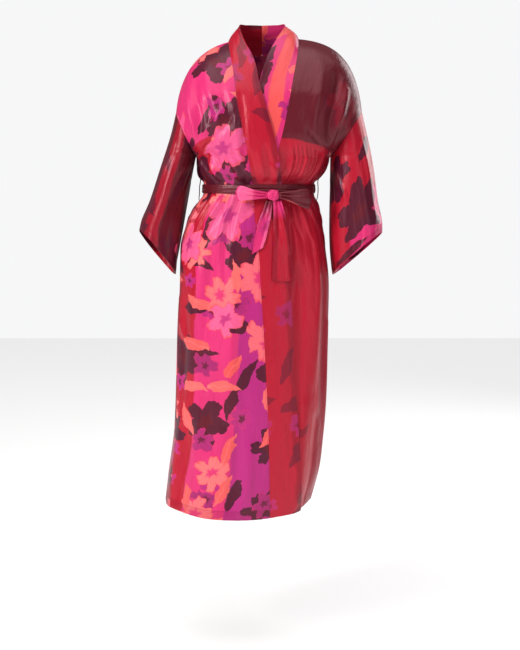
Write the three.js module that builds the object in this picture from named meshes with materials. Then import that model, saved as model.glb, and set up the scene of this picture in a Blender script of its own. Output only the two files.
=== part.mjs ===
import * as THREE from 'three';

// A kimono robe of printed satin as it is worn, tied at the waist with its own belt.
// Millimetres, +Z up. The front faces -Y, and the wearer's right side is at -X.
// The origin lies at the base of the neck, where the wearer's shoulders hold the robe.

// Driving dimensions of the cloth
const WALL = 2; // thickness of a cloth wall
const SEAM_GAP = 0.3; // space between two pieces that are sewn together
const LAP_DEPTH = 5; // how far the under front lies inside the over front
const LAP_FADE = 60; // width over which the under front comes out again past the lap
const HEM_LEVEL = -1180; // centre front of the hem
const UNDERARM_LEVEL = -285; // where the sides end and the armholes begin
const SHOULDER_LEVEL = 35; // level of the shoulder seam, counted along the chest
const FULLNESS = 1.12; // 1 makes the loops elliptical, more makes them squarer
const NAPE_LEVEL = 115; // level of the centre back of the collar, counted on from the shoulder
const BAND_WIDTH = 75; // neckband, flat
const NAPE_DROP = 45; // levels by which the back neckline dips below the shoulder seam
const BACK_NECK_START = -157; // level above which the back rows bend down to the neckline

// Driving dimensions of the belt
const BELT_TOP = -352;
const BELT_BOTTOM = -373;
const BELT_WALL = 3; // the belt is crushed into a few layers round the waist
const BELT_CLEARANCE = 1.2; // space between the belt and the gathered cloth under it
const BELT_FLATTENING = 25; // height over which the belt presses the gathers flat
const KNOT = { x: 27, y: -123.2, z: -377, width: 30, depth: 16, height: 27 };
const LOOP_WALL = 1.5;
const LOOP_WIDTH = 6;

// Numbers of rows and columns in the walls
const LOWER_LEVELS = [
  HEM_LEVEL, -1110, -1030, -940, -850, -760, -670, -590, -520, -465,
  -425, -398, -375, -362, -347, -334, -318, UNDERARM_LEVEL,
];
const UPPER_ROWS = 10;
const OVER_COLUMNS = 18;
const UNDER_SIDE_COLUMNS = 6;
const UNDER_GATHER_COLUMNS = 14;
const UNDER_LAP_COLUMNS = 3;
const BACK_SHOULDER_COLUMNS = 12;
const BACK_NECK_COLUMNS = 4;
const BAND_COLUMNS = 3;
const SLEEVE_STEPS_PER_STATION = 2;
const BELT_COLUMNS = 56;

function table(columns, rows) {
  return rows.map((row) => Object.fromEntries(columns.map((name, index) => [name, row[index]])));
}

// Centre lines of the front and the back, from the hem up to the shoulder seam
const CENTRES = table(
  ['level', 'middle', 'frontY', 'frontZ', 'backY', 'backZ'],
  [
    [HEM_LEVEL, -61, -152, -1180, 140, -1165],
    [-1096, -46, -149, -1096, 142, -1086],
    [-1000, -36, -146, -1000, 142, -995],
    [-800, -24, -140, -800, 144, -800],
    [-600, -20, -134, -600, 146, -600],
    [-508, -22, -130, -508, 138, -508],
    [-441, -20, -124, -441, 122, -441],
    [-400, -10, -117, -400, 106, -400],
    [-376, -7, -112.5, -376, 96, -376],
    [-346, -5, -112.5, -346, 96, -346],
    [-332, 0, -124, -332, 110, -332],
    [-314, 0, -132, -314, 117, -314],
    [UNDERARM_LEVEL, 0, -136, -285, 118, -285],
    [-221, 0, -138, -225, 116, -225],
    [-157, 0, -132, -165, 112, -165],
    [-93, 0, -114, -105, 102, -105],
    [-35, 0, -84, -55, 84, -52],
    [3, 0, -50, -20, 58, -14],
    [SHOULDER_LEVEL, 0, 0, 10, 0, 10],
  ],
);

// Outermost points of the sides, and how far the right side seam lies forward of them
const SIDES = table(
  ['level', 'rightX', 'leftX', 'sideY', 'sideZ', 'seamForward'],
  [
    [HEM_LEVEL, -250, 128, 0, -1160, 85],
    [-1096, -241, 148, 0, -1082, 75],
    [-1000, -228, 156, 0, -994, 62],
    [-900, -219, 162, 0, -899, 50],
    [-800, -214, 165, 0, -800, 42],
    [-600, -209, 170, 0, -600, 25],
    [-508, -204, 160, 0, -508, 8],
    [-441, -183, 146, 0, -441, 2],
    [-400, -160, 136, 0, -400, 0],
    [-376, -148, 131, 0, -376, 0],
    [-346, -147, 132, 0, -346, 0],
    [-332, -152, 142, 1, -332, 0],
    [-314, -160, 156, 2, -314, 0],
    [UNDERARM_LEVEL, -165, 170, 5, -285, 0],
  ],
);

// Sewn and free edges of both neckbands on the body, below the crossing of the fronts
const BAND_LINES = table(
  ['z', 'overSeam', 'overEdge', 'underSeam', 'underEdge'],
  [
    [-1177, 20, 94, -5, -79],
    [-960, 16, 88, 5, -69],
    [-744, 6, 77, 14, -60],
    [-600, -3, 69, 19, -54],
    [-524, -7, 60, 21, -51],
    [-445, -17, 52, 23, -48],
    [-359, -22, 48, 25, -46],
    [-286, -34, 40, 36, -37],
    [-219, -47, 25, 52, -20],
    [-154, -60, 6, 65, -12],
    [-98, -67, -8, 75, -5],
    [-55, -74, -20, 83, 6],
    [-15, -81, -40, 89, 30],
    [5, -84, -55, 91, 55],
  ],
);

// Free edge of each neckband from the crossing up round the neck to the nape
const COLLAR_LEVEL = -93;
const COLLAR_EDGE = table(
  ['level', 'overX', 'underX', 'y', 'overZ', 'underZ'],
  [
    [COLLAR_LEVEL, -8, -5, -113.5, -101, -98],
    [-61, -14, 6, -101, -68, -62],
    [-29, -24, 18, -80, -38, -30],
    [3, -40, 35, -50, -6, 2],
    [SHOULDER_LEVEL, -56, 56, -10, 38, 40],
    [75, -38, 38, 32, 46, 46],
    [NAPE_LEVEL, 0, 0, 48, 47, 47],
  ],
);

// Rings of each sleeve from the armhole to the cuff: x and z of its outer and inner line
const SLEEVE_COLUMNS = ['outerX', 'outerZ', 'innerX', 'innerZ', 'y', 'halfDepth', 'backDrop'];
const SLEEVES = {
  right: {
    side: -1,
    shoulderHandle: 150,
    neckHandle: 110,
    stations: table(SLEEVE_COLUMNS, [
      [-215, -173, -165, -285, 5, 85, 0],
      [-230, -233, -177, -330, 5, 88, 2],
      [-255, -309, -190, -390, 3, 90, 6],
      [-282, -391, -205, -470, 0, 88, 12],
      [-303, -440, -215, -530, -2, 86, 18],
      [-310, -470, -220, -576, -5, 84, 22],
    ]),
  },
  left: {
    side: 1,
    shoulderHandle: 186,
    neckHandle: 130,
    stations: table(SLEEVE_COLUMNS, [
      [250, -170, 170, -285, 5, 78, 0],
      [267, -241, 172, -345, 5, 82, 2],
      [280, -304, 171, -410, 3, 85, 5],
      [292, -389, 171, -480, 0, 85, 9],
      [303, -440, 174, -535, -2, 83, 13],
      [304, -473, 180, -578, -5, 80, 16],
    ]),
  },
};

// Folds of the body. Around: -1 right side, 0 centre front, 1 left side, 2 centre back.
// Drift is the change of around for each metre down, width and depth are millimetres.
const FOLD_COLUMNS = ['around', 'drift', 'width', 'depth', 'top', 'bottom', 'soft'];
const FOLDS = table(FOLD_COLUMNS, [
  [-0.9, -0.1, 9, 4, -300, -520, 60],
  [-0.77, -0.25, 10, 5, -290, -560, 80],
  [-0.63, -0.3, 11, 4.5, -372, -620, 90],
  [-0.5, 0.4, 10, 3.5, -270, -470, 50],
  [-0.34, 0.9, 9, 4, -260, -345, 40],
  [-0.16, 1.5, 9, 5, -240, -345, 40],
  [-0.62, -0.2, 18, -6, -120, -300, 60],
  [0.86, 0, 16, -6, -150, -340, 60],
  [0.42, 0.15, 12, 3.5, -380, -520, 60],
  [0.62, 0.2, 13, 5, -378, -640, 100],
  [0.78, 0.1, 11, 4, -300, -560, 80],
  [0.92, 0, 10, 4, -310, -500, 50],
  [-0.72, 0, 30, 7, -600, -1400, 150],
  [-0.3, 0, 42, 5, -720, -1400, 200],
  [0.55, 0, 34, 7, -640, -1400, 150],
  [1.12, 0.1, 11, 4, -280, -540, 60],
  [1.28, 0.1, 12, 5, -260, -620, 90],
  [1.45, 0, 11, 4.5, -290, -560, 70],
  [1.6, 0.1, 13, 5, -250, -600, 80],
  [1.76, 0, 12, 4, -290, -520, 60],
  [1.93, 0, 12, 5, -260, -600, 90],
  [2.09, 0, 11, 4.5, -280, -560, 60],
  [2.25, -0.1, 13, 5, -250, -620, 90],
  [2.42, 0, 11, 4, -290, -540, 60],
  [2.57, -0.1, 12, 5, -270, -600, 80],
  [2.73, 0, 12, 4.5, -280, -540, 60],
  [2.88, -0.1, 11, 4, -290, -520, 60],
  [1.3, 0, 36, 9, -640, -1400, 160],
  [1.75, 0, 34, 7, -700, -1400, 180],
  [2.2, 0, 38, 9, -660, -1400, 160],
  [2.65, 0, 34, 8, -620, -1400, 160],
]);

// Fine gathers of the under front above the belt, one on every second column of their zone
const GATHER_ZONE = { from: 0.285, to: 0.615, top: -250, bottom: -349, soft: 45, width: 3.6 };
const GATHER_DEPTHS = [2.4, 3, 2.2, 3.2, 2.6, 3, 2.2];

// In-seam pocket mouths pull the side seams in below the belt
const POCKET = { top: -385, bottom: -472, soft: 25, depth: 3, width: 12 };

// Lengthwise folds of the sleeves. Angle is measured from the outer line over the front.
const SLEEVE_FOLDS = {
  right: table(
    ['angle', 'width', 'depth', 'start'],
    [[75, 16, 7, 0.25], [118, 14, -6, 0.4], [152, 14, 5, 0.5], [235, 18, 6, 0.3]],
  ),
  left: table(
    ['angle', 'width', 'depth', 'start'],
    [[62, 16, 6, 0.3], [100, 14, -6, 0.4], [140, 15, 5, 0.5], [240, 18, 6, 0.3]],
  ),
};

// Tails of the belt: their edges and how far they stand off the fronts
const TAIL_COLUMNS = ['z', 'rightX', 'leftX', 'standOff'];
const TAILS = {
  belt_tail_over: table(TAIL_COLUMNS, [
    [-586, 24, 82, 5],
    [-550, 25, 76, 5],
    [-500, 27, 69, 5.5],
    [-450, 28, 61, 6.5],
    [-415, 28, 54, 8],
    [-391.0, 27.6, 47, 9],
  ]),
  belt_tail_under: table(TAIL_COLUMNS, [
    [-512, -25, 2, 4.6],
    [-475, -17, 11, 4.8],
    [-440, -8, 19, 5.4],
    [-415, 1, 23, 7],
    [-391.0, 10, 26.3, 9],
  ]),
};

// Loops of the bow: plan and the heights of the cloth at the knot and at the tip
const BOWS = {
  belt_bow_right: { knotX: 12.6, tipX: -63, knotY: -123.4, tipY: -135, bulge: 10, knotTop: -369,
    knotBottom: -385, tipTop: -355, tipBottom: -391 },
  belt_bow_left: { knotX: 41.2, tipX: 120, knotY: -123.4, tipY: -106, bulge: 12, knotTop: -369,
    knotBottom: -386, tipTop: -362, tipBottom: -410 },
};

// How far the belt loops stand off the side seams
const LOOP_STAND_OFFS = table(
  ['level', 'out'],
  [[-396, 2.6], [-391, 5.5], [-383, 9], [-370, 11.5], [-356, 11.5], [-343, 8], [-332, 3]],
);

const COLOURS = {
  back: 0xa02038, front_right: 0xd83070, front_left: 0xb02038, neckband_right: 0xc02840,
  neckband_left: 0xe04a70, sleeve_right: 0x7a1c30, sleeve_left: 0xc82a50, belt_waist: 0x702028,
  belt_knot: 0xc03060, belt_bow_right: 0xe04a80, belt_bow_left: 0x702028,
  belt_tail_over: 0xb02038, belt_tail_under: 0xa03848, belt_loop_right: 0x8a2030,
  belt_loop_left: 0x8a2030,
};

function mix(a, b, share) {
  return a + (b - a) * share;
}

function smooth(value) {
  const share = Math.min(1, Math.max(0, value));
  return share * share * (3 - 2 * share);
}

// Smooth reading of a table between its rows, by the column named key
function read(rows, key, name, value) {
  const ascending = rows[rows.length - 1][key] > rows[0][key];
  const list = ascending ? rows : [...rows].reverse();
  const last = list.length - 1;
  if (value <= list[0][key]) return list[0][name];
  if (value >= list[last][key]) return list[last][name];
  let index = 0;
  while (list[index + 1][key] < value) index += 1;
  const slope = (a, b) => (list[b][name] - list[a][name]) / (list[b][key] - list[a][key]);
  const span = list[index + 1][key] - list[index][key];
  const share = (value - list[index][key]) / span;
  const startSlope = slope(Math.max(0, index - 1), index + 1) * span;
  const endSlope = slope(index, Math.min(last, index + 2)) * span;
  const square = share * share;
  const cube = square * share;
  return (2 * cube - 3 * square + 1) * list[index][name] + (cube - 2 * square + share) * startSlope
    + (3 * square - 2 * cube) * list[index + 1][name] + (cube - square) * endSlope;
}

// Share of a fold's depth at a level, soft at its top and its bottom
function reach(level, top, bottom, soft) {
  return smooth((top - level) / soft + 0.5) * smooth((level - bottom) / soft + 0.5);
}

// Point on a sleeve ring. Angle 0 is the outer line, 90 degrees the front, 180 the underarm.
function ringPoint(station, angle) {
  const across = Math.cos(angle) / 2;
  const x = (station.outerX + station.innerX) / 2 + (station.outerX - station.innerX) * across;
  const z = (station.outerZ + station.innerZ) / 2 + (station.outerZ - station.innerZ) * across;
  const forward = Math.sin(angle);
  return new THREE.Vector3(x, station.y - station.halfDepth * forward, z + station.backDrop * forward);
}

// One quarter of the body's loop at a level, from the side or armhole to the centre line
const quarterStore = new Map();
function quarter(level, half, sleeve) {
  const key = `${level},${half},${sleeve.side}`;
  if (quarterStore.has(key)) return quarterStore.get(key);
  const centre = new THREE.Vector3(
    read(CENTRES, 'level', 'middle', level),
    read(CENTRES, 'level', half < 0 ? 'frontY' : 'backY', level),
    read(CENTRES, 'level', half < 0 ? 'frontZ' : 'backZ', level),
  );
  const sideLevel = Math.min(level, UNDERARM_LEVEL);
  const round = 0.5523 * FULLNESS;
  const side = new THREE.Vector3(
    read(SIDES, 'level', sleeve.side < 0 ? 'rightX' : 'leftX', sideLevel),
    read(SIDES, 'level', 'sideY', sideLevel),
    read(SIDES, 'level', 'sideZ', sideLevel),
  );
  let sideHandle = round * Math.abs(centre.y - side.y);
  let centreHandle = round * Math.abs(centre.x - side.x);
  const direction = new THREE.Vector3(0, half, 0);
  if (level > UNDERARM_LEVEL) {
    const climb = (level - UNDERARM_LEVEL) / (SHOULDER_LEVEL - UNDERARM_LEVEL);
    const angle = Math.PI * (1 - climb);
    const height = (1 + Math.cos(angle)) / 2;
    side.copy(ringPoint(sleeve.stations[0], -half * angle));
    const lowHandle = round * Math.abs(read(CENTRES, 'level', 'frontY', UNDERARM_LEVEL));
    sideHandle = mix(lowHandle, sleeve.shoulderHandle, height * height);
    centreHandle = mix(round * 168, sleeve.neckHandle, height);
    direction.set(-sleeve.side * 0.107 * height, half * (1 - height) ** 2, 0.99 * height);
    direction.normalize();
    const fullReach = (0.9 * Math.abs(centre.y - side.y)) / Math.max(0.01, Math.abs(direction.y));
    sideHandle = Math.min(sideHandle, fullReach);
  }
  const curve = new THREE.CubicBezierCurve3(
    side,
    side.clone().addScaledVector(direction, sideHandle),
    centre.clone().add(new THREE.Vector3(sleeve.side * centreHandle, 0, 0)),
    centre,
  );
  quarterStore.set(key, curve);
  return curve;
}

// Names the quarter in which a place around the body lies, and its share from side to centre
function locate(around, level, half) {
  let place = around;
  if (level > UNDERARM_LEVEL) {
    place = half < 0 ? Math.min(1, Math.max(-1, place)) : Math.min(3, Math.max(1, place));
  } else {
    if (place < -1) place += 4;
    if (place > 3) place -= 4;
  }
  if (place < 0) return { half: -1, sleeve: SLEEVES.right, share: place + 1 };
  if (place < 1 || (place === 1 && half < 0)) {
    return { half: -1, sleeve: SLEEVES.left, share: 1 - place };
  }
  if (place < 2) return { half: 1, sleeve: SLEEVES.left, share: place - 1 };
  return { half: 1, sleeve: SLEEVES.right, share: Math.abs(3 - place) };
}

function plainPoint(around, level, half) {
  const spot = locate(around, level, half);
  const curve = quarter(level, spot.half, spot.sleeve);
  return curve.getPointAt(Math.min(1, Math.max(0, spot.share)));
}

function quarterLength(around, level, half) {
  const spot = locate(around, level, half);
  return quarter(level, spot.half, spot.sleeve).getLength();
}

// Outward normal of a surface given as a function of around and level
function normalOf(surface, around, level) {
  const topLevel = Math.min(level + 1, SHOULDER_LEVEL - 0.05);
  const across = surface(around + 0.004, level).sub(surface(around - 0.004, level));
  const up = surface(around, topLevel).sub(surface(around, topLevel - 2));
  return across.cross(up).normalize();
}

function wrapped(difference) {
  return difference - 4 * Math.round(difference / 4);
}

function foldDepth(around, level, half) {
  const length = quarterLength(around, level, half);
  let depth = 0;
  for (const fold of FOLDS) {
    const centre = fold.around + (fold.drift * (BELT_BOTTOM - level)) / 1000;
    const distance = (wrapped(around - centre) * length) / fold.width;
    const share = reach(level, fold.top, fold.bottom, fold.soft);
    depth += fold.depth * share * Math.exp(-distance * distance);
  }
  const step = (GATHER_ZONE.to - GATHER_ZONE.from) / UNDER_GATHER_COLUMNS;
  GATHER_DEPTHS.forEach((gatherDepth, index) => {
    const centre = GATHER_ZONE.from + step * (2 * index + 1);
    const distance = (wrapped(around - centre) * length) / GATHER_ZONE.width;
    const share = reach(level, GATHER_ZONE.top, GATHER_ZONE.bottom, GATHER_ZONE.soft);
    depth += gatherDepth * share * Math.exp(-distance * distance);
  });
  for (const seam of [seamAround(SLEEVES.right, level), 1]) {
    const distance = (wrapped(around - seam) * length) / POCKET.width;
    depth -= POCKET.depth * reach(level, POCKET.top, POCKET.bottom, POCKET.soft)
      * Math.exp(-distance * distance);
  }
  const beltMiddle = (BELT_TOP + BELT_BOTTOM) / 2;
  const beltHalf = (BELT_TOP - BELT_BOTTOM) / 2 + 2;
  depth *= mix(0.12, 1, smooth((Math.abs(level - beltMiddle) - beltHalf) / BELT_FLATTENING));
  if (level > UNDERARM_LEVEL) {
    const toArmhole = half < 0 ? 1 - Math.abs(around) : 1 - Math.abs(around - 2);
    depth *= smooth((toArmhole * length) / 45);
    depth *= smooth((SHOULDER_LEVEL - level) / 60);
  }
  return depth;
}

// Place of a side seam around the body
function seamAround(sleeve, level) {
  if (sleeve.side > 0) return 1;
  const forward = read(SIDES, 'level', 'seamForward', Math.min(level, UNDERARM_LEVEL));
  return -1 + Math.max(0, forward) / quarterLength(-0.5, level, -1);
}

// Middle surface of the folded cloth, moved out along its normal
function clothPoint(around, level, half, out = 0) {
  const plain = (a, l) => plainPoint(a, l, half);
  const normal = normalOf(plain, around, level);
  return plain(around, level).addScaledVector(normal, foldDepth(around, level, half) + out);
}

// Vertex of a panel. At a seam both panels take their normal from the seam's own place.
function clothVertex(around, level, half, outwards = () => 0, seam = around) {
  const surface = (a, l) => clothPoint(a, l, half, outwards(a, l));
  const normal = normalOf(surface, seam, level);
  if (level > SHOULDER_LEVEL - 1) normal.setY(0).normalize();
  return { point: surface(around, level), normal };
}

// Place around the front where the body has the given x at a level
function aroundAtX(x, level) {
  let low = -1;
  let high = 1;
  for (let step = 0; step < 30; step += 1) {
    const middle = (low + high) / 2;
    if (plainPoint(middle, level, -1).x < x) low = middle;
    else high = middle;
  }
  return (low + high) / 2;
}

function bandLineAround(name, level) {
  let z = level;
  let around = 0;
  for (let step = 0; step < 6; step += 1) {
    around = aroundAtX(read(BAND_LINES, 'z', name, z), level);
    z = plainPoint(around, level, -1).z;
  }
  return around;
}

// How far the under front lies inwards, so that it passes behind the over front
function lapDepth(around, level) {
  const point = plainPoint(around, level, -1);
  const edge = read(BAND_LINES, 'z', 'overEdge', Math.min(point.z, -98));
  const aside = smooth((edge + LAP_FADE + 15 - point.x) / LAP_FADE);
  return -LAP_DEPTH * aside * (1 - smooth((level - COLLAR_LEVEL) / 70));
}

function levels() {
  const list = [...LOWER_LEVELS];
  const step = (SHOULDER_LEVEL - UNDERARM_LEVEL) / UPPER_ROWS;
  for (let row = 1; row <= UPPER_ROWS; row += 1) list.push(UNDERARM_LEVEL + row * step);
  list[list.length - 1] -= SEAM_GAP;
  return list;
}

// Closed wall round a grid of points with normals, the columns turning left to right
function wall(grid, { thickness = WALL, tube = false } = {}) {
  const rowCount = grid.length;
  const columnCount = grid[0].length;
  const positions = [];
  for (const side of [0.5, -0.5]) {
    for (const row of grid) {
      for (const { point, normal } of row) {
        const moved = point.clone().addScaledVector(normal, side * thickness);
        positions.push(moved.x, moved.y, moved.z);
      }
    }
  }
  const inner = rowCount * columnCount;
  const at = (row, column) => row * columnCount + (column % columnCount);
  const faces = [];
  const cells = tube ? columnCount : columnCount - 1;
  for (let row = 0; row < rowCount - 1; row += 1) {
    for (let column = 0; column < cells; column += 1) {
      const [a, b] = [at(row, column), at(row, column + 1)];
      const [c, d] = [at(row + 1, column + 1), at(row + 1, column)];
      faces.push(a, b, c, a, c, d);
      faces.push(inner + a, inner + c, inner + b, inner + a, inner + d, inner + c);
    }
  }
  const rim = (from, to) => {
    faces.push(to, from, inner + from, to, inner + from, inner + to);
  };
  for (let column = 0; column < cells; column += 1) {
    rim(at(0, column), at(0, column + 1));
    rim(at(rowCount - 1, column + 1), at(rowCount - 1, column));
  }
  if (!tube) {
    for (let row = 0; row < rowCount - 1; row += 1) {
      rim(at(row, columnCount - 1), at(row + 1, columnCount - 1));
      rim(at(row + 1, 0), at(row, 0));
    }
  }
  const geometry = new THREE.BufferGeometry();
  geometry.setAttribute('position', new THREE.Float32BufferAttribute(positions, 3));
  geometry.setIndex(faces);
  geometry.computeVertexNormals();
  return geometry;
}

const robe = new THREE.Group();
robe.name = 'kimono_robe';

function addPiece(name, geometry) {
  const material = new THREE.MeshStandardMaterial({
    color: COLOURS[name], roughness: 0.42, metalness: 0,
  });
  const mesh = new THREE.Mesh(geometry, material);
  mesh.name = name;
  robe.add(mesh);
}

function setBack(around, level, half) {
  return SEAM_GAP / 2 / quarterLength(around, level, half);
}

// Vertices of one row of a panel, whose first and last lie at its seams
function panelRow(places, firstSeam, lastSeam, level, half, outwards) {
  return places.map((place, column) => {
    const seams = { 0: firstSeam, [places.length - 1]: lastSeam };
    return clothVertex(place, level, half, outwards, seams[column]);
  });
}

// Over front, the wearer's right, from its side seam to its band seam
function overFront() {
  return levels().map((level) => {
    const sideSeam = seamAround(SLEEVES.right, level);
    const bandSeam = bandLineAround('overSeam', level);
    const gap = setBack(-0.5, level, -1);
    const places = [];
    for (let column = 0; column <= OVER_COLUMNS; column += 1) {
      places.push(mix(sideSeam + gap, bandSeam - gap, column / OVER_COLUMNS));
    }
    return panelRow(places, sideSeam, bandSeam, level, -1);
  });
}

// Under front, the wearer's left, from its band seam to its side seam
function underFront() {
  return levels().map((level) => {
    const bandSeam = bandLineAround('underSeam', level);
    const start = bandSeam + setBack(0.5, level, -1);
    const end = 1 - setBack(0.5, level, -1);
    const zoneStart = Math.max(GATHER_ZONE.from, mix(start, end, 0.12));
    const zoneEnd = Math.max(GATHER_ZONE.to, mix(start, end, 0.5));
    const places = [];
    for (let column = 0; column < UNDER_LAP_COLUMNS; column += 1) {
      places.push(mix(start, zoneStart, column / UNDER_LAP_COLUMNS));
    }
    for (let column = 0; column < UNDER_GATHER_COLUMNS; column += 1) {
      places.push(mix(zoneStart, zoneEnd, column / UNDER_GATHER_COLUMNS));
    }
    for (let column = 0; column <= UNDER_SIDE_COLUMNS; column += 1) {
      places.push(mix(zoneEnd, end, column / UNDER_SIDE_COLUMNS));
    }
    return panelRow(places, bandSeam, 1, level, -1, lapDepth);
  });
}

// Share of the top back row at which the neckline begins, seen from the armhole
function neckShare(sleeve) {
  const name = sleeve.side < 0 ? 'overSeam' : 'underSeam';
  return 1 - Math.abs(bandLineAround(name, SHOULDER_LEVEL));
}

// Level of the back neckline at a place around the back
function necklineLevel(around) {
  const sleeve = around < 2 ? SLEEVES.left : SLEEVES.right;
  const inwards = 1 - Math.abs(around - 2);
  const share = neckShare(sleeve);
  if (inwards <= share) return SHOULDER_LEVEL;
  const across = (1 - inwards) / (1 - share);
  return SHOULDER_LEVEL - NAPE_DROP * Math.sqrt(1 - across * across);
}

function backLevel(around, level) {
  if (level <= BACK_NECK_START) return level;
  const share = (level - BACK_NECK_START) / (SHOULDER_LEVEL - BACK_NECK_START);
  return mix(BACK_NECK_START, necklineLevel(around), share);
}

function backPlaces(level) {
  const start = 1 + setBack(1.5, level, 1);
  const seam = seamAround(SLEEVES.right, level);
  const end = seam + 4 - setBack(2.5, level, 1);
  const neckStart = 1 + neckShare(SLEEVES.left);
  const neckEnd = 3 - neckShare(SLEEVES.right);
  const places = [];
  for (let column = 0; column < BACK_SHOULDER_COLUMNS; column += 1) {
    places.push(mix(start, neckStart, column / BACK_SHOULDER_COLUMNS));
  }
  for (let column = 0; column < BACK_NECK_COLUMNS; column += 1) {
    places.push(mix(neckStart, 2, column / BACK_NECK_COLUMNS));
  }
  for (let column = 0; column < BACK_NECK_COLUMNS; column += 1) {
    places.push(mix(2, neckEnd, column / BACK_NECK_COLUMNS));
  }
  for (let column = 0; column <= BACK_SHOULDER_COLUMNS; column += 1) {
    places.push(mix(neckEnd, end, column / BACK_SHOULDER_COLUMNS));
  }
  return places;
}

// Back, from the left side seam round to the right side seam
function backPanel() {
  return levels().map((level) => {
    const places = backPlaces(level);
    const seams = { 0: 1, [places.length - 1]: seamAround(SLEEVES.right, level) + 4 };
    return places.map((place, column) => {
      const seam = seams[column] ?? place;
      const turn = seam > 3 ? 4 : 0;
      const row = turn > 0 ? level : backLevel(place, level);
      return clothVertex(place - turn, row, turn > 0 ? -1 : 1, undefined, seam - turn);
    });
  });
}

// Rows of one neckband, from the hem up to the centre back of the neck
function neckband(side) {
  const over = side < 0;
  const seamName = over ? 'overSeam' : 'underSeam';
  const edgeName = over ? 'overEdge' : 'underEdge';
  const lap = over ? () => 0 : lapDepth;
  const rows = [];
  const collarPoint = (level) => new THREE.Vector3(
    read(COLLAR_EDGE, 'level', over ? 'overX' : 'underX', level),
    read(COLLAR_EDGE, 'level', 'y', level),
    read(COLLAR_EDGE, 'level', over ? 'overZ' : 'underZ', level),
  );
  const standing = (seamPoint, edgePoint, leave, share) => {
    const length = seamPoint.distanceTo(edgePoint);
    const curve = new THREE.CubicBezierCurve3(
      seamPoint,
      seamPoint.clone().addScaledVector(leave, length * 0.36),
      edgePoint.clone().lerp(seamPoint, 0.3),
      edgePoint,
    );
    return curve.getPoint(share);
  };
  // The sewn edge runs along the front, then along the back neckline
  const seamPlace = (level) => {
    if (level <= SHOULDER_LEVEL) {
      return { around: bandLineAround(seamName, level), level, half: -1 };
    }
    const share = (level - SHOULDER_LEVEL) / (NAPE_LEVEL - SHOULDER_LEVEL);
    const sleeve = over ? SLEEVES.right : SLEEVES.left;
    const start = 2 - side * (1 - neckShare(sleeve));
    const around = mix(start, 2, share);
    return { around, level: necklineLevel(around), half: 1 };
  };
  const bandPoint = (share, level) => {
    if (level <= COLLAR_LEVEL) {
      const start = bandLineAround(seamName, level);
      const end = bandLineAround(edgeName, level);
      const around = mix(start, end, share);
      return clothPoint(around, level, -1, lap(around, level));
    }
    const seam = seamPlace(level);
    const inwards = lap(seam.around, seam.level);
    const point = clothPoint(seam.around, seam.level, seam.half, inwards);
    const leave = new THREE.Vector3(-side, 0, 0);
    const stand = new THREE.Vector3(-side * 0.35, 0, 1).normalize();
    const rise = smooth((level - COLLAR_LEVEL) / (SHOULDER_LEVEL - COLLAR_LEVEL));
    leave.lerp(stand, rise).normalize();
    const edge = collarPoint(level);
    if (!over) edge.y += LAP_DEPTH * (1 - smooth((level - COLLAR_LEVEL) / 70));
    return standing(point, edge, leave, share);
  };
  const vertex = (share, level) => {
    const place = share + ((SEAM_GAP * 0.8) / BAND_WIDTH) * (1 - share);
    const point = bandPoint(place, level);
    const across = bandPoint(place + 0.02, level).sub(bandPoint(place - 0.02, level));
    const up = bandPoint(place, level).sub(bandPoint(place, level - 1));
    const normal = across.cross(up).normalize().multiplyScalar(-side);
    if (share === 0) {
      const seam = seamPlace(level);
      normal.copy(clothVertex(seam.around, seam.level, seam.half, lap).normal);
    }
    if (level === NAPE_LEVEL) {
      point.setX((side * SEAM_GAP) / 2);
      normal.setX(0).normalize();
    }
    return { point, normal };
  };
  const bandLevels = levels();
  for (let step = 1; step <= BACK_NECK_COLUMNS; step += 1) {
    bandLevels.push(mix(SHOULDER_LEVEL, NAPE_LEVEL, step / BACK_NECK_COLUMNS));
  }
  for (const level of bandLevels) {
    const row = [];
    for (let column = 0; column <= BAND_COLUMNS; column += 1) {
      const share = over ? column / BAND_COLUMNS : 1 - column / BAND_COLUMNS;
      row.push(vertex(share, level));
    }
    rows.push(row);
  }
  return rows;
}

// Sleeve from just past the armhole down to the cuff, one closed ring a row
function sleeve(name) {
  const { side, stations } = SLEEVES[name];
  const count = 2 * UPPER_ROWS;
  const station = (place) => {
    const rows = stations.map((entry, order) => ({ ...entry, order }));
    const blended = {};
    for (const column of SLEEVE_COLUMNS) blended[column] = read(rows, 'order', column, place);
    return blended;
  };
  const last = stations.length - 1;
  const surface = (angle, place) => {
    const ring = station(Math.max(0, place));
    const point = ringPoint(ring, angle);
    const middle = new THREE.Vector3(
      (ring.outerX + ring.innerX) / 2,
      ring.y,
      (ring.outerZ + ring.innerZ) / 2,
    );
    const outwards = point.clone().sub(middle).normalize();
    let depth = 0;
    for (const fold of SLEEVE_FOLDS[name]) {
      const away = THREE.MathUtils.radToDeg(angle) - fold.angle;
      const turn = THREE.MathUtils.euclideanModulo(away + 180, 360) - 180;
      const share = smooth((place / last - fold.start * 0.5) / 0.5);
      depth += fold.depth * share * Math.exp(-((turn / fold.width) ** 2));
    }
    const low = ((1 - Math.cos(angle)) / 2) ** 1.5;
    const start = Math.max(0, 1 - place);
    point.addScaledVector(outwards, depth);
    point.x += side * 2.7 * low * start;
    return point;
  };
  const rows = [];
  const steps = last * SLEEVE_STEPS_PER_STATION;
  for (let step = steps; step >= 0; step -= 1) {
    const place = step === 0 ? 0.006 : step / SLEEVE_STEPS_PER_STATION;
    const row = [];
    for (let index = 0; index < count; index += 1) {
      const angle = -side * index * ((2 * Math.PI) / count);
      const across = surface(angle - side * 0.02, place).sub(surface(angle + side * 0.02, place));
      const up = surface(angle, Math.max(0, place - 0.05)).sub(surface(angle, place + 0.05));
      row.push({ point: surface(angle, place), normal: across.cross(up).normalize() });
    }
    rows.push(row);
  }
  return rows;
}

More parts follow.
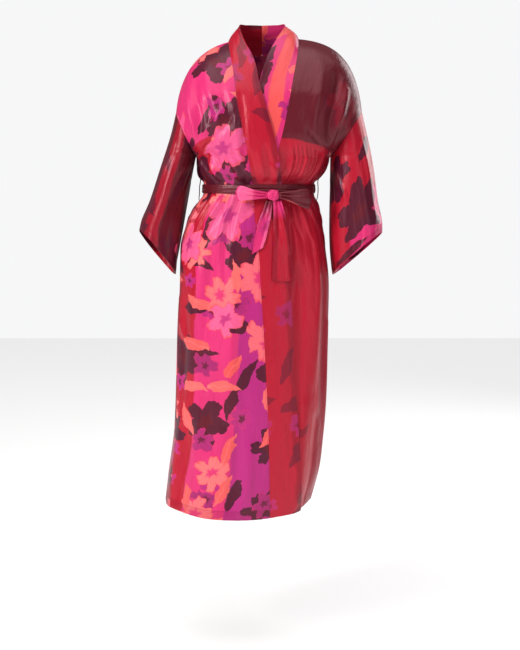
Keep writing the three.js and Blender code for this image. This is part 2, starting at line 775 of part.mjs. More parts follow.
// Belt round the waist, one closed ring of crushed layers
function beltRing() {
  const heights = [BELT_BOTTOM, mix(BELT_BOTTOM, BELT_TOP, 0.5), BELT_TOP];
  const swell = [0, 0.6, 0];
  return heights.map((height, index) => {
    const row = [];
    for (let column = 0; column < BELT_COLUMNS; column += 1) {
      const around = -1 + (4 * column) / BELT_COLUMNS + 0.001;
      const half = around < 1 ? -1 : 1;
      const out = WALL / 2 + BELT_CLEARANCE + BELT_WALL / 2 + swell[index];
      const { point, normal } = clothVertex(around, height, half, () => out);
      normal.z = 0;
      normal.normalize();
      point.z = height;
      row.push({ point, normal });
    }
    return row;
  });
}

// One loop of the bow: cloth that leaves the knot, turns at the tip and comes back behind
function bowLoop(bow) {
  const steps = 16;
  const openAngle = THREE.MathUtils.degToRad(42);
  const reachX = (bow.tipX - bow.knotX) / (1 + Math.cos(openAngle));
  const surface = (share, step) => {
    const angle = mix(openAngle, 2 * Math.PI - openAngle, step / steps);
    const x = bow.tipX - reachX * (1 + Math.cos(angle));
    const outwards = (x - bow.knotX) / (bow.tipX - bow.knotX);
    const belly = Math.sin(Math.PI * share) * 3 * outwards;
    const spread = bow.bulge * Math.sin(angle) * Math.sin(angle / 2);
    const y = mix(bow.knotY, bow.tipY, outwards) - spread - belly * Math.sign(Math.sin(angle));
    const bottom = mix(bow.knotBottom, bow.tipBottom, smooth(outwards));
    const top = mix(bow.knotTop, bow.tipTop, smooth(outwards));
    return new THREE.Vector3(x, y, mix(bottom, top, share));
  };
  const shares = [0, 0.33, 0.67, 1];
  const turn = Math.sign(bow.tipX - bow.knotX);
  const rows = shares.map((share) => {
    const row = [];
    for (let step = 0; step <= steps; step += 1) {
      const across = surface(share, step + 0.1).sub(surface(share, step - 0.1));
      const up = new THREE.Vector3(0, 0, 1);
      row.push({ point: surface(share, step), normal: across.cross(up).normalize() });
    }
    if (turn > 0) return row;
    for (const { normal } of row) normal.negate();
    return row.reverse();
  });
  return rows;
}

// Knot of the bow: a rounded wrap of cloth with soft upright creases
function knot() {
  const geometry = new THREE.SphereGeometry(1, 20, 12);
  const positions = geometry.attributes.position;
  for (let index = 0; index < positions.count; index += 1) {
    const point = new THREE.Vector3().fromBufferAttribute(positions, index);
    const turn = Math.atan2(point.x, point.z);
    const level = Math.abs(point.y);
    const ridge = 1 - 0.05 * (1 - level) * Math.sin(6 * turn) ** 2;
    point.multiplyScalar(ridge);
    const depthwise = (-point.z * KNOT.depth) / 2;
    positions.setXYZ(index, (point.x * KNOT.width) / 2, depthwise, (point.y * KNOT.height) / 2);
  }
  geometry.translate(KNOT.x, KNOT.y, KNOT.z);
  return geometry;
}

// Tail of the belt, made from the points of the fronts and moved out
function tail(rows) {
  const bottom = rows[0].z;
  const top = rows[rows.length - 1].z;
  const columns = 5;
  const steps = 10;
  const surface = (share, height) => {
    const z = mix(bottom, top, height);
    const x = mix(read(rows, 'z', 'rightX', z), read(rows, 'z', 'leftX', z), share);
    const crush = 1.6 * smooth((height - 0.35) / 0.5) * Math.sin(share * Math.PI * 4);
    const point = clothPoint(aroundAtX(x, z), z, -1, read(rows, 'z', 'standOff', z) + crush);
    return new THREE.Vector3(x, point.y, z);
  };
  const grid = [];
  for (let step = 0; step <= steps; step += 1) {
    const row = [];
    for (let column = 0; column <= columns; column += 1) {
      const [share, height] = [column / columns, step / steps];
      const across = surface(share + 0.03, height).sub(surface(share - 0.03, height));
      const up = surface(share, height + 0.01).sub(surface(share, height - 0.01));
      row.push({ point: surface(share, height), normal: across.cross(up).normalize() });
    }
    grid.push(row);
  }
  return grid;
}

// Thin strap just behind a side seam, which the belt passes through
function beltLoop(side) {
  return LOOP_STAND_OFFS.map(({ level, out }) => {
    const seam = side < 0 ? 3 : 1;
    const step = (side * LOOP_WIDTH) / quarterLength(1.5, level, 1);
    const places = [seam + step * 0.5, seam + step * 1.5];
    if (side < 0) places.reverse();
    return places.map((place) => {
      const vertex = clothVertex(place, level, 1, () => out);
      vertex.normal.setZ(0).normalize();
      return vertex;
    });
  });
}

addPiece('back', wall(backPanel()));
addPiece('front_right', wall(overFront()));
addPiece('front_left', wall(underFront()));
addPiece('neckband_right', wall(neckband(-1)));
addPiece('neckband_left', wall(neckband(1)));
addPiece('sleeve_right', wall(sleeve('right'), { tube: true }));
addPiece('sleeve_left', wall(sleeve('left'), { tube: true }));
addPiece('belt_waist', wall(beltRing(), { thickness: BELT_WALL, tube: true }));
addPiece('belt_knot', knot());
for (const [name, bow] of Object.entries(BOWS)) addPiece(name, wall(bowLoop(bow)));
for (const [name, rows] of Object.entries(TAILS)) addPiece(name, wall(tail(rows)));
addPiece('belt_loop_right', wall(beltLoop(-1), { thickness: LOOP_WALL }));
addPiece('belt_loop_left', wall(beltLoop(1), { thickness: LOOP_WALL }));

export default robe;
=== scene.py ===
# %% [markdown]
# A satin kimono robe, dressed over its CAD frame.
#
# The robe hangs hollow and keeps its worn form. Its solids give the place of every panel.
# Here each panel becomes a thin sheet of satin on the same form, with creases, seams, stitches
# and a printed flower pattern. Blender works in metres, but the tables below stay in
# millimetres, as a pattern cutter writes them, and turn into metres when a mesh is made.

# %% The frame and the tools
import math

import bmesh
import bpy
import numpy as np
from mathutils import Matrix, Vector


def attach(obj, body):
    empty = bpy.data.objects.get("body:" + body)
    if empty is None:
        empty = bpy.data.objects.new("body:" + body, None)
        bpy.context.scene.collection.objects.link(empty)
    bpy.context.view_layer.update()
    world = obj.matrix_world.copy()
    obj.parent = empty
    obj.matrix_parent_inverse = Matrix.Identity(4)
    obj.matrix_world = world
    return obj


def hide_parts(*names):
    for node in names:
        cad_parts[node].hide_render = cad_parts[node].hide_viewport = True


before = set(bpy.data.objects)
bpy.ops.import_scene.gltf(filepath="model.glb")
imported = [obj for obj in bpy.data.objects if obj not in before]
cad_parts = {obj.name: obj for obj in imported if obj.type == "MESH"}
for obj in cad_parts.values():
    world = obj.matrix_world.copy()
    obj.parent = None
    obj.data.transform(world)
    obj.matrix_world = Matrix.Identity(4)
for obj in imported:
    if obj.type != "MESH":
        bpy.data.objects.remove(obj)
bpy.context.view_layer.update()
print("CAD nodes:", len(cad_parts))


# %% [markdown]
# Tables that drive the form.
#
# A body is easiest to describe by closed loops stacked from the hem to the shoulders, as on a
# dress form. Each table gives a few rows, and a smooth curve is read between the rows. The
# same numbers made the solids, so the satin can't drift away from them.

# %% Reading a table smoothly
def table(columns, rows):
    values = np.array(rows, float)
    return {name: values[:, index] for index, name in enumerate(columns)}


def read(rows, key, name, value):
    """Value of a column where the key has the given value, on a smooth curve."""
    order = np.argsort(rows[key])
    keys = rows[key][order]
    values = rows[name][order]
    last = len(keys) - 1
    place = np.clip(np.asarray(value, float), keys[0], keys[-1])
    index = np.clip(np.searchsorted(keys, place, side="left") - 1, 0, last - 1)
    before = np.maximum(index - 1, 0)
    after = np.minimum(index + 2, last)
    span = keys[index + 1] - keys[index]
    share = (place - keys[index]) / span
    start = (values[index + 1] - values[before]) / (keys[index + 1] - keys[before]) * span
    end = (values[after] - values[index]) / (keys[after] - keys[index]) * span
    square = share * share
    cube = square * share
    result = (2 * cube - 3 * square + 1) * values[index]
    result += (cube - 2 * square + share) * start
    result += (3 * square - 2 * cube) * values[index + 1]
    result += (cube - square) * end
    return result


def mix(a, b, share):
    return a + (b - a) * share


def smooth(value):
    share = np.clip(value, 0, 1)
    return share * share * (3 - 2 * share)


# %% Centre lines and sides of the body
HEM_LEVEL = -1180
UNDERARM_LEVEL = -285
SHOULDER_LEVEL = 35
NAPE_LEVEL = 115
COLLAR_LEVEL = -93

CENTRES = table(
    ["level", "middle", "frontY", "frontZ", "backY", "backZ"],
    [
        [HEM_LEVEL, -61, -152, -1180, 140, -1165],
        [-1096, -46, -149, -1096, 142, -1086],
        [-1000, -36, -146, -1000, 142, -995],
        [-800, -24, -140, -800, 144, -800],
        [-600, -20, -134, -600, 146, -600],
        [-508, -22, -130, -508, 138, -508],
        [-441, -20, -124, -441, 122, -441],
        [-400, -10, -117, -400, 106, -400],
        [-376, -7, -112.5, -376, 96, -376],
        [-346, -5, -112.5, -346, 96, -346],
        [-332, 0, -124, -332, 110, -332],
        [-314, 0, -132, -314, 117, -314],
        [UNDERARM_LEVEL, 0, -136, -285, 118, -285],
        [-221, 0, -138, -225, 116, -225],
        [-157, 0, -132, -165, 112, -165],
        [-93, 0, -114, -105, 102, -105],
        [-35, 0, -84, -55, 84, -52],
        [3, 0, -50, -20, 58, -14],
        [SHOULDER_LEVEL, 0, 0, 10, 0, 10],
    ],
)

SIDES = table(
    ["level", "rightX", "leftX", "sideY", "sideZ", "seamForward"],
    [
        [HEM_LEVEL, -250, 128, 0, -1160, 85],
        [-1096, -241, 148, 0, -1082, 75],
        [-1000, -228, 156, 0, -994, 62],
        [-900, -219, 162, 0, -899, 50],
        [-800, -214, 165, 0, -800, 42],
        [-600, -209, 170, 0, -600, 25],
        [-508, -204, 160, 0, -508, 8],
        [-441, -183, 146, 0, -441, 2],
        [-400, -160, 136, 0, -400, 0],
        [-376, -148, 131, 0, -376, 0],
        [-346, -147, 132, 0, -346, 0],
        [-332, -152, 142, 1, -332, 0],
        [-314, -160, 156, 2, -314, 0],
        [UNDERARM_LEVEL, -165, 170, 5, -285, 0],
    ],
)

# %% Lines of the neckbands and rings of the sleeves
BAND_LINES = table(
    ["z", "overSeam", "overEdge", "underSeam", "underEdge"],
    [
        [-1177, 20, 94, -5, -79],
        [-960, 16, 88, 5, -69],
        [-744, 6, 77, 14, -60],
        [-600, -3, 69, 19, -54],
        [-524, -7, 60, 21, -51],
        [-445, -17, 52, 23, -48],
        [-359, -22, 48, 25, -46],
        [-286, -34, 40, 36, -37],
        [-219, -47, 25, 52, -20],
        [-154, -60, 6, 65, -12],
        [-98, -67, -8, 75, -5],
        [-55, -74, -20, 83, 6],
        [-15, -81, -40, 89, 30],
        [5, -84, -55, 91, 55],
    ],
)

COLLAR_EDGE = table(
    ["level", "overX", "underX", "y", "overZ", "underZ"],
    [
        [COLLAR_LEVEL, -8, -5, -113.5, -101, -98],
        [-61, -14, 6, -101, -68, -62],
        [-29, -24, 18, -80, -38, -30],
        [3, -40, 35, -50, -6, 2],
        [SHOULDER_LEVEL, -56, 56, -10, 38, 40],
        [75, -38, 38, 32, 46, 46],
        [NAPE_LEVEL, 0, 0, 48, 47, 47],
    ],
)

SLEEVE_COLUMNS = ["outerX", "outerZ", "innerX", "innerZ", "y", "halfDepth", "backDrop", "order"]
SLEEVES = {
    "right": {
        "side": -1,
        "shoulderHandle": 150,
        "neckHandle": 110,
        "stations": table(SLEEVE_COLUMNS, [
            [-215, -173, -165, -285, 5, 85, 0, 0],
            [-230, -233, -177, -330, 5, 88, 2, 1],
            [-255, -309, -190, -390, 3, 90, 6, 2],
            [-282, -391, -205, -470, 0, 88, 12, 3],
            [-303, -440, -215, -530, -2, 86, 18, 4],
            [-310, -470, -220, -576, -5, 84, 22, 5],
        ]),
    },
    "left": {
        "side": 1,
        "shoulderHandle": 186,
        "neckHandle": 130,
        "stations": table(SLEEVE_COLUMNS, [
            [250, -170, 170, -285, 5, 78, 0, 0],
            [267, -241, 172, -345, 5, 82, 2, 1],
            [280, -304, 171, -410, 3, 85, 5, 2],
            [292, -389, 171, -480, 0, 85, 9, 3],
            [303, -440, 174, -535, -2, 83, 13, 4],
            [304, -473, 180, -578, -5, 80, 16, 5],
        ]),
    },
}

# %% Large folds, which the solids have too
# Each row: place around, drift, width, depth, top level, bottom level, softness of its ends
FOLDS = [
    [-0.9, -0.1, 9, 4, -300, -520, 60],
    [-0.77, -0.25, 10, 5, -290, -560, 80],
    [-0.63, -0.3, 11, 4.5, -372, -620, 90],
    [-0.5, 0.4, 10, 3.5, -270, -470, 50],
    [-0.34, 0.9, 9, 4, -260, -345, 40],
    [-0.16, 1.5, 9, 5, -240, -345, 40],
    [-0.62, -0.2, 18, -6, -120, -300, 60],
    [0.86, 0, 16, -6, -150, -340, 60],
    [0.42, 0.15, 12, 3.5, -380, -520, 60],
    [0.62, 0.2, 13, 5, -378, -640, 100],
    [0.78, 0.1, 11, 4, -300, -560, 80],
    [0.92, 0, 10, 4, -310, -500, 50],
    [-0.72, 0, 30, 7, -600, -1400, 150],
    [-0.3, 0, 42, 5, -720, -1400, 200],
    [0.55, 0, 34, 7, -640, -1400, 150],
    [1.12, 0.1, 11, 4, -280, -540, 60],
    [1.28, 0.1, 12, 5, -260, -620, 90],
    [1.45, 0, 11, 4.5, -290, -560, 70],
    [1.6, 0.1, 13, 5, -250, -600, 80],
    [1.76, 0, 12, 4, -290, -520, 60],
    [1.93, 0, 12, 5, -260, -600, 90],
    [2.09, 0, 11, 4.5, -280, -560, 60],
    [2.25, -0.1, 13, 5, -250, -620, 90],
    [2.42, 0, 11, 4, -290, -540, 60],
    [2.57, -0.1, 12, 5, -270, -600, 80],
    [2.73, 0, 12, 4.5, -280, -540, 60],
    [2.88, -0.1, 11, 4, -290, -520, 60],
    [1.3, 0, 36, 9, -640, -1400, 160],
    [1.75, 0, 34, 7, -700, -1400, 180],
    [2.2, 0, 38, 9, -660, -1400, 160],
    [2.65, 0, 34, 8, -620, -1400, 160],
]
GATHER_ZONE = {"from": 0.285, "to": 0.615, "top": -250, "bottom": -349, "soft": 45, "width": 3.6}
GATHER_DEPTHS = [2.4, 3, 2.2, 3.2, 2.6, 3, 2.2]
POCKET = {"top": -385, "bottom": -472, "soft": 25, "depth": 3, "width": 12}
BELT_TOP = -352
BELT_BOTTOM = -373
BELT_FLATTENING = 25
LAP_DEPTH = 5
LAP_FADE = 60
FULLNESS = 1.12
print("Folds:", len(FOLDS), "gathers:", len(GATHER_DEPTHS))


# %% [markdown]
# The dress form under the cloth.
#
# Each loop round the body is four curves, one for a quarter. A Bezier curve needs only two end
# points and two handles, so a loop stays smooth however far the cloth is from round. Above the
# underarm the outer end of each quarter lies on the ring of the armhole, which is why the
# shoulder slopes into the sleeve. All of it is worked out at once on a fine lattice of places
# around the body and levels up the body, and every panel later takes its points from there.

# %% Loops of the body
LEVELS = np.linspace(HEM_LEVEL, SHOULDER_LEVEL, 246)
QUARTER_STEPS = 170
CURVE_POINTS = 321
CIRCLE_HANDLE = 0.5523
LONGEST_HANDLE = 0.9
ARMHOLE_LEAN = 0.107
ARMHOLE_RISE = 0.99
UNDERARM_HALF = 168


def ring_point(station, angle):
    """Point on a sleeve ring: angle 0 is the outer line, a quarter turn on is the front."""
    across = np.cos(angle) / 2
    x = (station["outerX"] + station["innerX"]) / 2
    x = x + (station["outerX"] - station["innerX"]) * across
    z = (station["outerZ"] + station["innerZ"]) / 2
    z = z + (station["outerZ"] - station["innerZ"]) * across + station["backDrop"] * np.sin(angle)
    y = station["y"] - station["halfDepth"] * np.sin(angle)
    return np.stack([x, y, z], axis=-1)


def station_at(sleeve, place):
    rings = sleeve["stations"]
    return {name: read(rings, "order", name, place) for name in SLEEVE_COLUMNS}


def quarter_loops(half, sleeve):
    """Points of one quarter at every level, evenly spaced from the side to the centre."""
    depth = "frontY" if half < 0 else "backY"
    height = "frontZ" if half < 0 else "backZ"
    names = ("middle", depth, height)
    centre = np.stack([read(CENTRES, "level", name, LEVELS) for name in names], axis=-1)
    low = np.minimum(LEVELS, UNDERARM_LEVEL)
    edge = "rightX" if sleeve["side"] < 0 else "leftX"
    side = np.stack([read(SIDES, "level", name, low) for name in (edge, "sideY", "sideZ")], axis=-1)
    round_share = CIRCLE_HANDLE * FULLNESS
    side_handle = round_share * np.abs(centre[:, 1] - side[:, 1])
    centre_handle = round_share * np.abs(centre[:, 0] - side[:, 0])
    direction = np.tile([0.0, half, 0.0], (len(LEVELS), 1))
    above = LEVELS > UNDERARM_LEVEL
    climb = (LEVELS[above] - UNDERARM_LEVEL) / (SHOULDER_LEVEL - UNDERARM_LEVEL)
    angle = math.pi * (1 - climb)
    height = (1 + np.cos(angle)) / 2
    side[above] = ring_point(station_at(sleeve, 0), -half * angle)
    low_handle = round_share * abs(float(read(CENTRES, "level", "frontY", UNDERARM_LEVEL)))
    inwards = -sleeve["side"] * ARMHOLE_LEAN * height
    leave = np.stack([inwards, half * (1 - height) ** 2, ARMHOLE_RISE * height], axis=-1)
    leave /= np.linalg.norm(leave, axis=1, keepdims=True)
    direction[above] = leave
    longest = LONGEST_HANDLE * np.abs(centre[above, 1] - side[above, 1])
    longest = longest / np.maximum(0.0001, np.abs(leave[:, 1]))
    side_handle[above] = np.minimum(mix(low_handle, sleeve["shoulderHandle"], height ** 2), longest)
    centre_handle[above] = mix(round_share * UNDERARM_HALF, sleeve["neckHandle"], height)
    first = side + direction * side_handle[:, None]
    second = centre.copy()
    second[:, 0] += sleeve["side"] * centre_handle
    t = np.linspace(0, 1, CURVE_POINTS)[None, :, None]
    curve = (1 - t) ** 3 * side[:, None] + 3 * t * (1 - t) ** 2 * first[:, None]
    curve = curve + 3 * t * t * (1 - t) * second[:, None] + t ** 3 * centre[:, None]
    steps = np.linalg.norm(np.diff(curve, axis=1), axis=2)
    run = np.concatenate([np.zeros((len(LEVELS), 1)), np.cumsum(steps, axis=1)], axis=1)
    even = np.empty((len(LEVELS), QUARTER_STEPS + 1, 3))
    for row in range(len(LEVELS)):
        wanted = np.linspace(0, run[row, -1], QUARTER_STEPS + 1)
        for axis in range(3):
            even[row, :, axis] = np.interp(wanted, run[row], curve[row, :, axis])
    return even, run[:, -1]


front_right_quarter, length_front_right = quarter_loops(-1, SLEEVES["right"])
front_left_quarter, length_front_left = quarter_loops(-1, SLEEVES["left"])
back_right_quarter, length_back_right = quarter_loops(1, SLEEVES["right"])
back_left_quarter, length_back_left = quarter_loops(1, SLEEVES["left"])
waist_row = int(np.argmin(np.abs(LEVELS - BELT_TOP)))
waist = length_front_right + length_front_left + length_back_right + length_back_left
print("Round the waist, mm:", round(float(waist[waist_row])), " round the hem:", round(float(waist[0])))

# %% One lattice for the front and one for the back
FRONT_PLACES = np.linspace(-1, 1, 2 * QUARTER_STEPS + 1)
BACK_PLACES = np.linspace(1, 3, 2 * QUARTER_STEPS + 1)
front_plain = np.concatenate([front_right_quarter, front_left_quarter[:, -2::-1]], axis=1)
back_plain = np.concatenate([back_left_quarter, back_right_quarter[:, -2::-1]], axis=1)


def lattice_normals(points):
    across = np.gradient(points, axis=1)
    up = np.gradient(points, axis=0)
    normal = np.cross(across, up)
    return normal / np.maximum(np.linalg.norm(normal, axis=2, keepdims=True), 1e-9)


def join_sides(front, back):
    """Gives both lattices the same normals where they meet: at the sides and the shoulders."""
    for lattice in (front, back):
        lattice[-1, :, 1] = 0
        lattice[-1] /= np.linalg.norm(lattice[-1], axis=1, keepdims=True)
    below = LEVELS <= UNDERARM_LEVEL
    for front_column, back_column in ((0, -1), (-1, 0)):
        shared = front[below, front_column] + back[below, back_column]
        shared /= np.linalg.norm(shared, axis=1, keepdims=True)
        front[below, front_column] = shared
        back[below, back_column] = shared


front_normals = lattice_normals(front_plain)
back_normals = lattice_normals(back_plain)
join_sides(front_normals, back_normals)


def lookup(lattice, places, around, level):
    """Smoothly picks values of a lattice at any place and level."""
    column = (np.asarray(around, float) - places[0]) / (places[1] - places[0])
    row = (np.asarray(level, float) - LEVELS[0]) / (LEVELS[1] - LEVELS[0])
    column = np.clip(column, 0, len(places) - 1.0001)
    row = np.clip(row, 0, len(LEVELS) - 1.0001)
    left = column.astype(int)
    low = row.astype(int)
    across = (column - left)[..., None]
    up = (row - low)[..., None]
    lower = mix(lattice[low, left], lattice[low, left + 1], across)
    upper = mix(lattice[low + 1, left], lattice[low + 1, left + 1], across)
    return mix(lower, upper, up)


# %% Where the seams run
def band_place(name, level):
    """Place around the front of a neckband's seam or edge at a level."""
    z = float(level)
    row = min(max((level - LEVELS[0]) / (LEVELS[1] - LEVELS[0]), 0), len(LEVELS) - 1.0001)
    low = int(row)
    loop = mix(front_plain[low], front_plain[low + 1], row - low)
    place = 0.0
    for _ in range(6):
        x = float(read(BAND_LINES, "z", name, z))
        place = float(np.interp(x, loop[:, 0], FRONT_PLACES))
        z = float(np.interp(place, FRONT_PLACES, loop[:, 2]))
    return place


def side_seam_place(level):
    """Place of the right side seam, which lies forward of the side below the waist."""
    forward = np.maximum(0, read(SIDES, "level", "seamForward", np.minimum(level, UNDERARM_LEVEL)))
    return -1 + forward / np.interp(level, LEVELS, length_front_right)


for name in ("overSeam", "overEdge", "underSeam", "underEdge"):
    print(name, "at the waist:", round(band_place(name, BELT_TOP), 3))


# %% [markdown]
# Folds, gathers and creases.
#
# Cloth never lies as plain as its pattern. Three things shape it here. The large folds hang
# where fullness is held in by the belt. The fine gathers stand above the belt where the under
# front is drawn together. The soft creases are listed one by one, each as a short bent path
# with a width and a depth, because a real crease starts somewhere, bends a little and fades.
# A repeating wave would be quicker, but the eye sees at once that cloth doesn't repeat.

# %% Depth of the large folds and gathers
ARMHOLE_FADE = 45
SHOULDER_FADE = 60
SHARE_UNDER_BELT = 0.12


def wrapped(difference):
    return difference - 4 * np.round(difference / 4)


def reach(level, top, bottom, soft):
    return smooth((top - level) / soft + 0.5) * smooth((level - bottom) / soft + 0.5)


def lattice_lengths(places, right, left):
    """Length of the quarter in which each place of a lattice lies."""
    middle = (places[0] + places[-1]) / 2
    right_first = places[0] < 0
    first, second = (right, left) if right_first else (left, right)
    return np.where(places[None, :] < middle, first[:, None], second[:, None])


def fold_depths(places, lengths, half):
    around = places[None, :]
    level = LEVELS[:, None]
    depth = np.zeros(lengths.shape)
    for place, drift, width, height, top, bottom, soft in FOLDS:
        centre = place + drift * (BELT_BOTTOM - level) / 1000
        distance = wrapped(around - centre) * lengths / width
        depth += height * reach(level, top, bottom, soft) * np.exp(-distance ** 2)
    step = (GATHER_ZONE["to"] - GATHER_ZONE["from"]) / 14
    for index, height in enumerate(GATHER_DEPTHS):
        centre = GATHER_ZONE["from"] + step * (2 * index + 1)
        distance = wrapped(around - centre) * lengths / GATHER_ZONE["width"]
        share = reach(level, GATHER_ZONE["top"], GATHER_ZONE["bottom"], GATHER_ZONE["soft"])
        depth += height * share * np.exp(-distance ** 2)
    for seam in (side_seam_place(LEVELS)[:, None], 1.0):
        distance = wrapped(around - seam) * lengths / POCKET["width"]
        share = reach(level, POCKET["top"], POCKET["bottom"], POCKET["soft"])
        depth -= POCKET["depth"] * share * np.exp(-distance ** 2)
    belt_middle = (BELT_TOP + BELT_BOTTOM) / 2
    belt_half = (BELT_TOP - BELT_BOTTOM) / 2 + 2
    from_belt = np.abs(level - belt_middle) - belt_half
    depth = depth * mix(SHARE_UNDER_BELT, 1, smooth(from_belt / BELT_FLATTENING))
    to_armhole = 1 - np.abs(around) if half < 0 else 1 - np.abs(around - 2)
    fade = smooth(to_armhole * lengths / ARMHOLE_FADE) * smooth((SHOULDER_LEVEL - level) / SHOULDER_FADE)
    return np.where(level > UNDERARM_LEVEL, depth * fade, depth)


# %% Creases listed one by one on the fronts
CREASE_STRENGTH = 2.4
# Each row: start place and level, middle, end, width mm, depth mm (negative is a trough)
FRONT_CREASES = [
    [-0.52, -376, -0.60, -420, -0.66, -492, 5, 2.6],
    [-0.44, -378, -0.50, -440, -0.53, -520, 6, 2.4],
    [-0.37, -376, -0.40, -415, -0.46, -470, 4, -1.8],
    [-0.30, -378, -0.31, -430, -0.35, -540, 6, 2.0],
    [-0.22, -377, -0.24, -420, -0.22, -500, 5, -1.6],
    [-0.66, -377, -0.76, -430, -0.80, -500, 5, -2.2],
    [-0.82, -378, -0.88, -430, -0.86, -520, 5, 2.2],
    [-0.95, -395, -0.90, -415, -0.93, -440, 3.5, 1.8],
    [-0.96, -425, -0.91, -436, -0.94, -462, 3.5, 1.6],
    [-0.98, -405, -0.93, -428, -0.96, -450, 3, -1.6],
    [0.26, -380, 0.33, -440, 0.36, -520, 6, 2.2],
    [0.34, -378, 0.42, -420, 0.52, -490, 5, -2.0],
    [0.47, -377, 0.56, -425, 0.66, -505, 5, 2.6],
    [0.56, -377, 0.68, -420, 0.80, -470, 5, 2.2],
    [0.70, -380, 0.80, -430, 0.88, -500, 5, -2.0],
    [0.94, -392, 0.90, -410, 0.93, -432, 3.5, 1.8],
    [0.96, -420, 0.91, -432, 0.94, -458, 3.5, 1.8],
    [0.97, -405, 0.93, -424, 0.96, -446, 3, -1.5],
    [-0.13, -345, -0.17, -310, -0.27, -250, 7, 2.2],
    [-0.22, -345, -0.30, -300, -0.44, -225, 8, 2.4],
    [-0.06, -342, -0.08, -310, -0.13, -262, 5, -1.6],
    [-0.33, -345, -0.44, -300, -0.60, -250, 7, -2.0],
    [-0.45, -345, -0.55, -310, -0.70, -262, 6, 2.4],
    [-0.58, -345, -0.66, -318, -0.80, -280, 6, 2.0],
    [-0.72, -345, -0.80, -322, -0.92, -300, 5, -1.8],
    [-0.85, -346, -0.90, -330, -0.97, -300, 5, 2.0],
    [0.16, -344, 0.17, -310, 0.16, -262, 4, 1.6],
    [0.22, -344, 0.24, -312, 0.26, -276, 4, -1.4],
    [0.64, -346, 0.66, -310, 0.72, -256, 5, 2.2],
    [0.72, -346, 0.76, -316, 0.84, -270, 5, -1.8],
    [0.80, -346, 0.86, -320, 0.94, -280, 5, 2.2],
    [-0.62, -60, -0.68, -130, -0.72, -210, 12, -3.0],
    [-0.76, -80, -0.80, -140, -0.80, -200, 9, 2.2],
    [-0.50, -40, -0.52, -110, -0.48, -200, 11, 1.8],
    [-0.40, -150, -0.55, -180, -0.74, -196, 9, 1.8],
    [-0.30, -170, -0.46, -214, -0.70, -246, 9, -1.8],
    [0.60, -50, 0.70, -130, 0.74, -220, 12, -3.0],
    [0.74, -70, 0.82, -140, 0.82, -220, 9, 2.2],
    [0.46, -40, 0.52, -120, 0.56, -220, 11, 1.6],
    [0.48, -200, 0.62, -230, 0.80, -246, 8, -1.6],
    [-0.55, -560, -0.60, -700, -0.56, -860, 16, 3.2],
    [-0.40, -520, -0.44, -640, -0.47, -760, 12, -2.9],
    [-0.70, -600, -0.74, -760, -0.70, -930, 14, -3.3],
    [-0.18, -600, -0.21, -760, -0.20, -940, 15, 2.9],
    [-0.86, -640, -0.88, -800, -0.84, -1000, 14, 2.6],
    [-0.46, -880, -0.44, -1010, -0.48, -1165, 16, 3.3],
    [-0.62, -960, -0.60, -1060, -0.64, -1170, 13, -3.1],
    [-0.10, -930, -0.08, -1050, -0.11, -1172, 14, -2.7],
    [0.02, -1000, 0.05, -1090, 0.03, -1174, 12, 1.8],
    [0.45, -560, 0.48, -700, 0.44, -880, 14, -2.2],
    [0.60, -540, 0.66, -700, 0.62, -860, 13, 2.6],
    [0.76, -560, 0.80, -760, 0.78, -960, 13, -2.6],
    [0.52, -900, 0.50, -1040, 0.54, -1170, 16, 2.4],
    [0.70, -940, 0.72, -1060, 0.70, -1170, 13, -2.4],
    [0.88, -700, 0.86, -900, 0.89, -1120, 12, 2.4],
    [-0.78, -700, -0.70, -745, -0.62, -752, 10, 2.0],
    [-0.32, -90, -0.29, -200, -0.21, -335, 13, 2.2],
    [-0.21, -130, -0.20, -230, -0.13, -338, 8, -1.7],
    [0.02, -342, 0.0, -310, -0.04, -262, 5, 1.8],
    [0.10, -342, 0.09, -300, 0.02, -250, 6, -1.6],
    [0.18, -340, 0.14, -316, 0.06, -300, 4, 1.3],
    [0.345, -345, 0.35, -300, 0.34, -252, 2.6, -1.7],
    [0.44, -345, 0.445, -310, 0.46, -268, 2.6, 1.5],
    [0.565, -345, 0.575, -300, 0.59, -246, 3, -1.8],
    [0.50, -346, 0.51, -330, 0.53, -300, 2.4, 1.2],
    [0.40, -378, 0.41, -480, 0.36, -640, 8, -1.8],
    [0.62, -378, 0.64, -500, 0.60, -680, 9, -2.0],
    [-0.58, -378, -0.66, -460, -0.68, -600, 8, -2.0],
    [-0.26, -378, -0.28, -470, -0.27, -640, 8, -1.5],
    [-0.36, -1020, -0.30, -1040, -0.22, -1048, 10, 1.2],
]
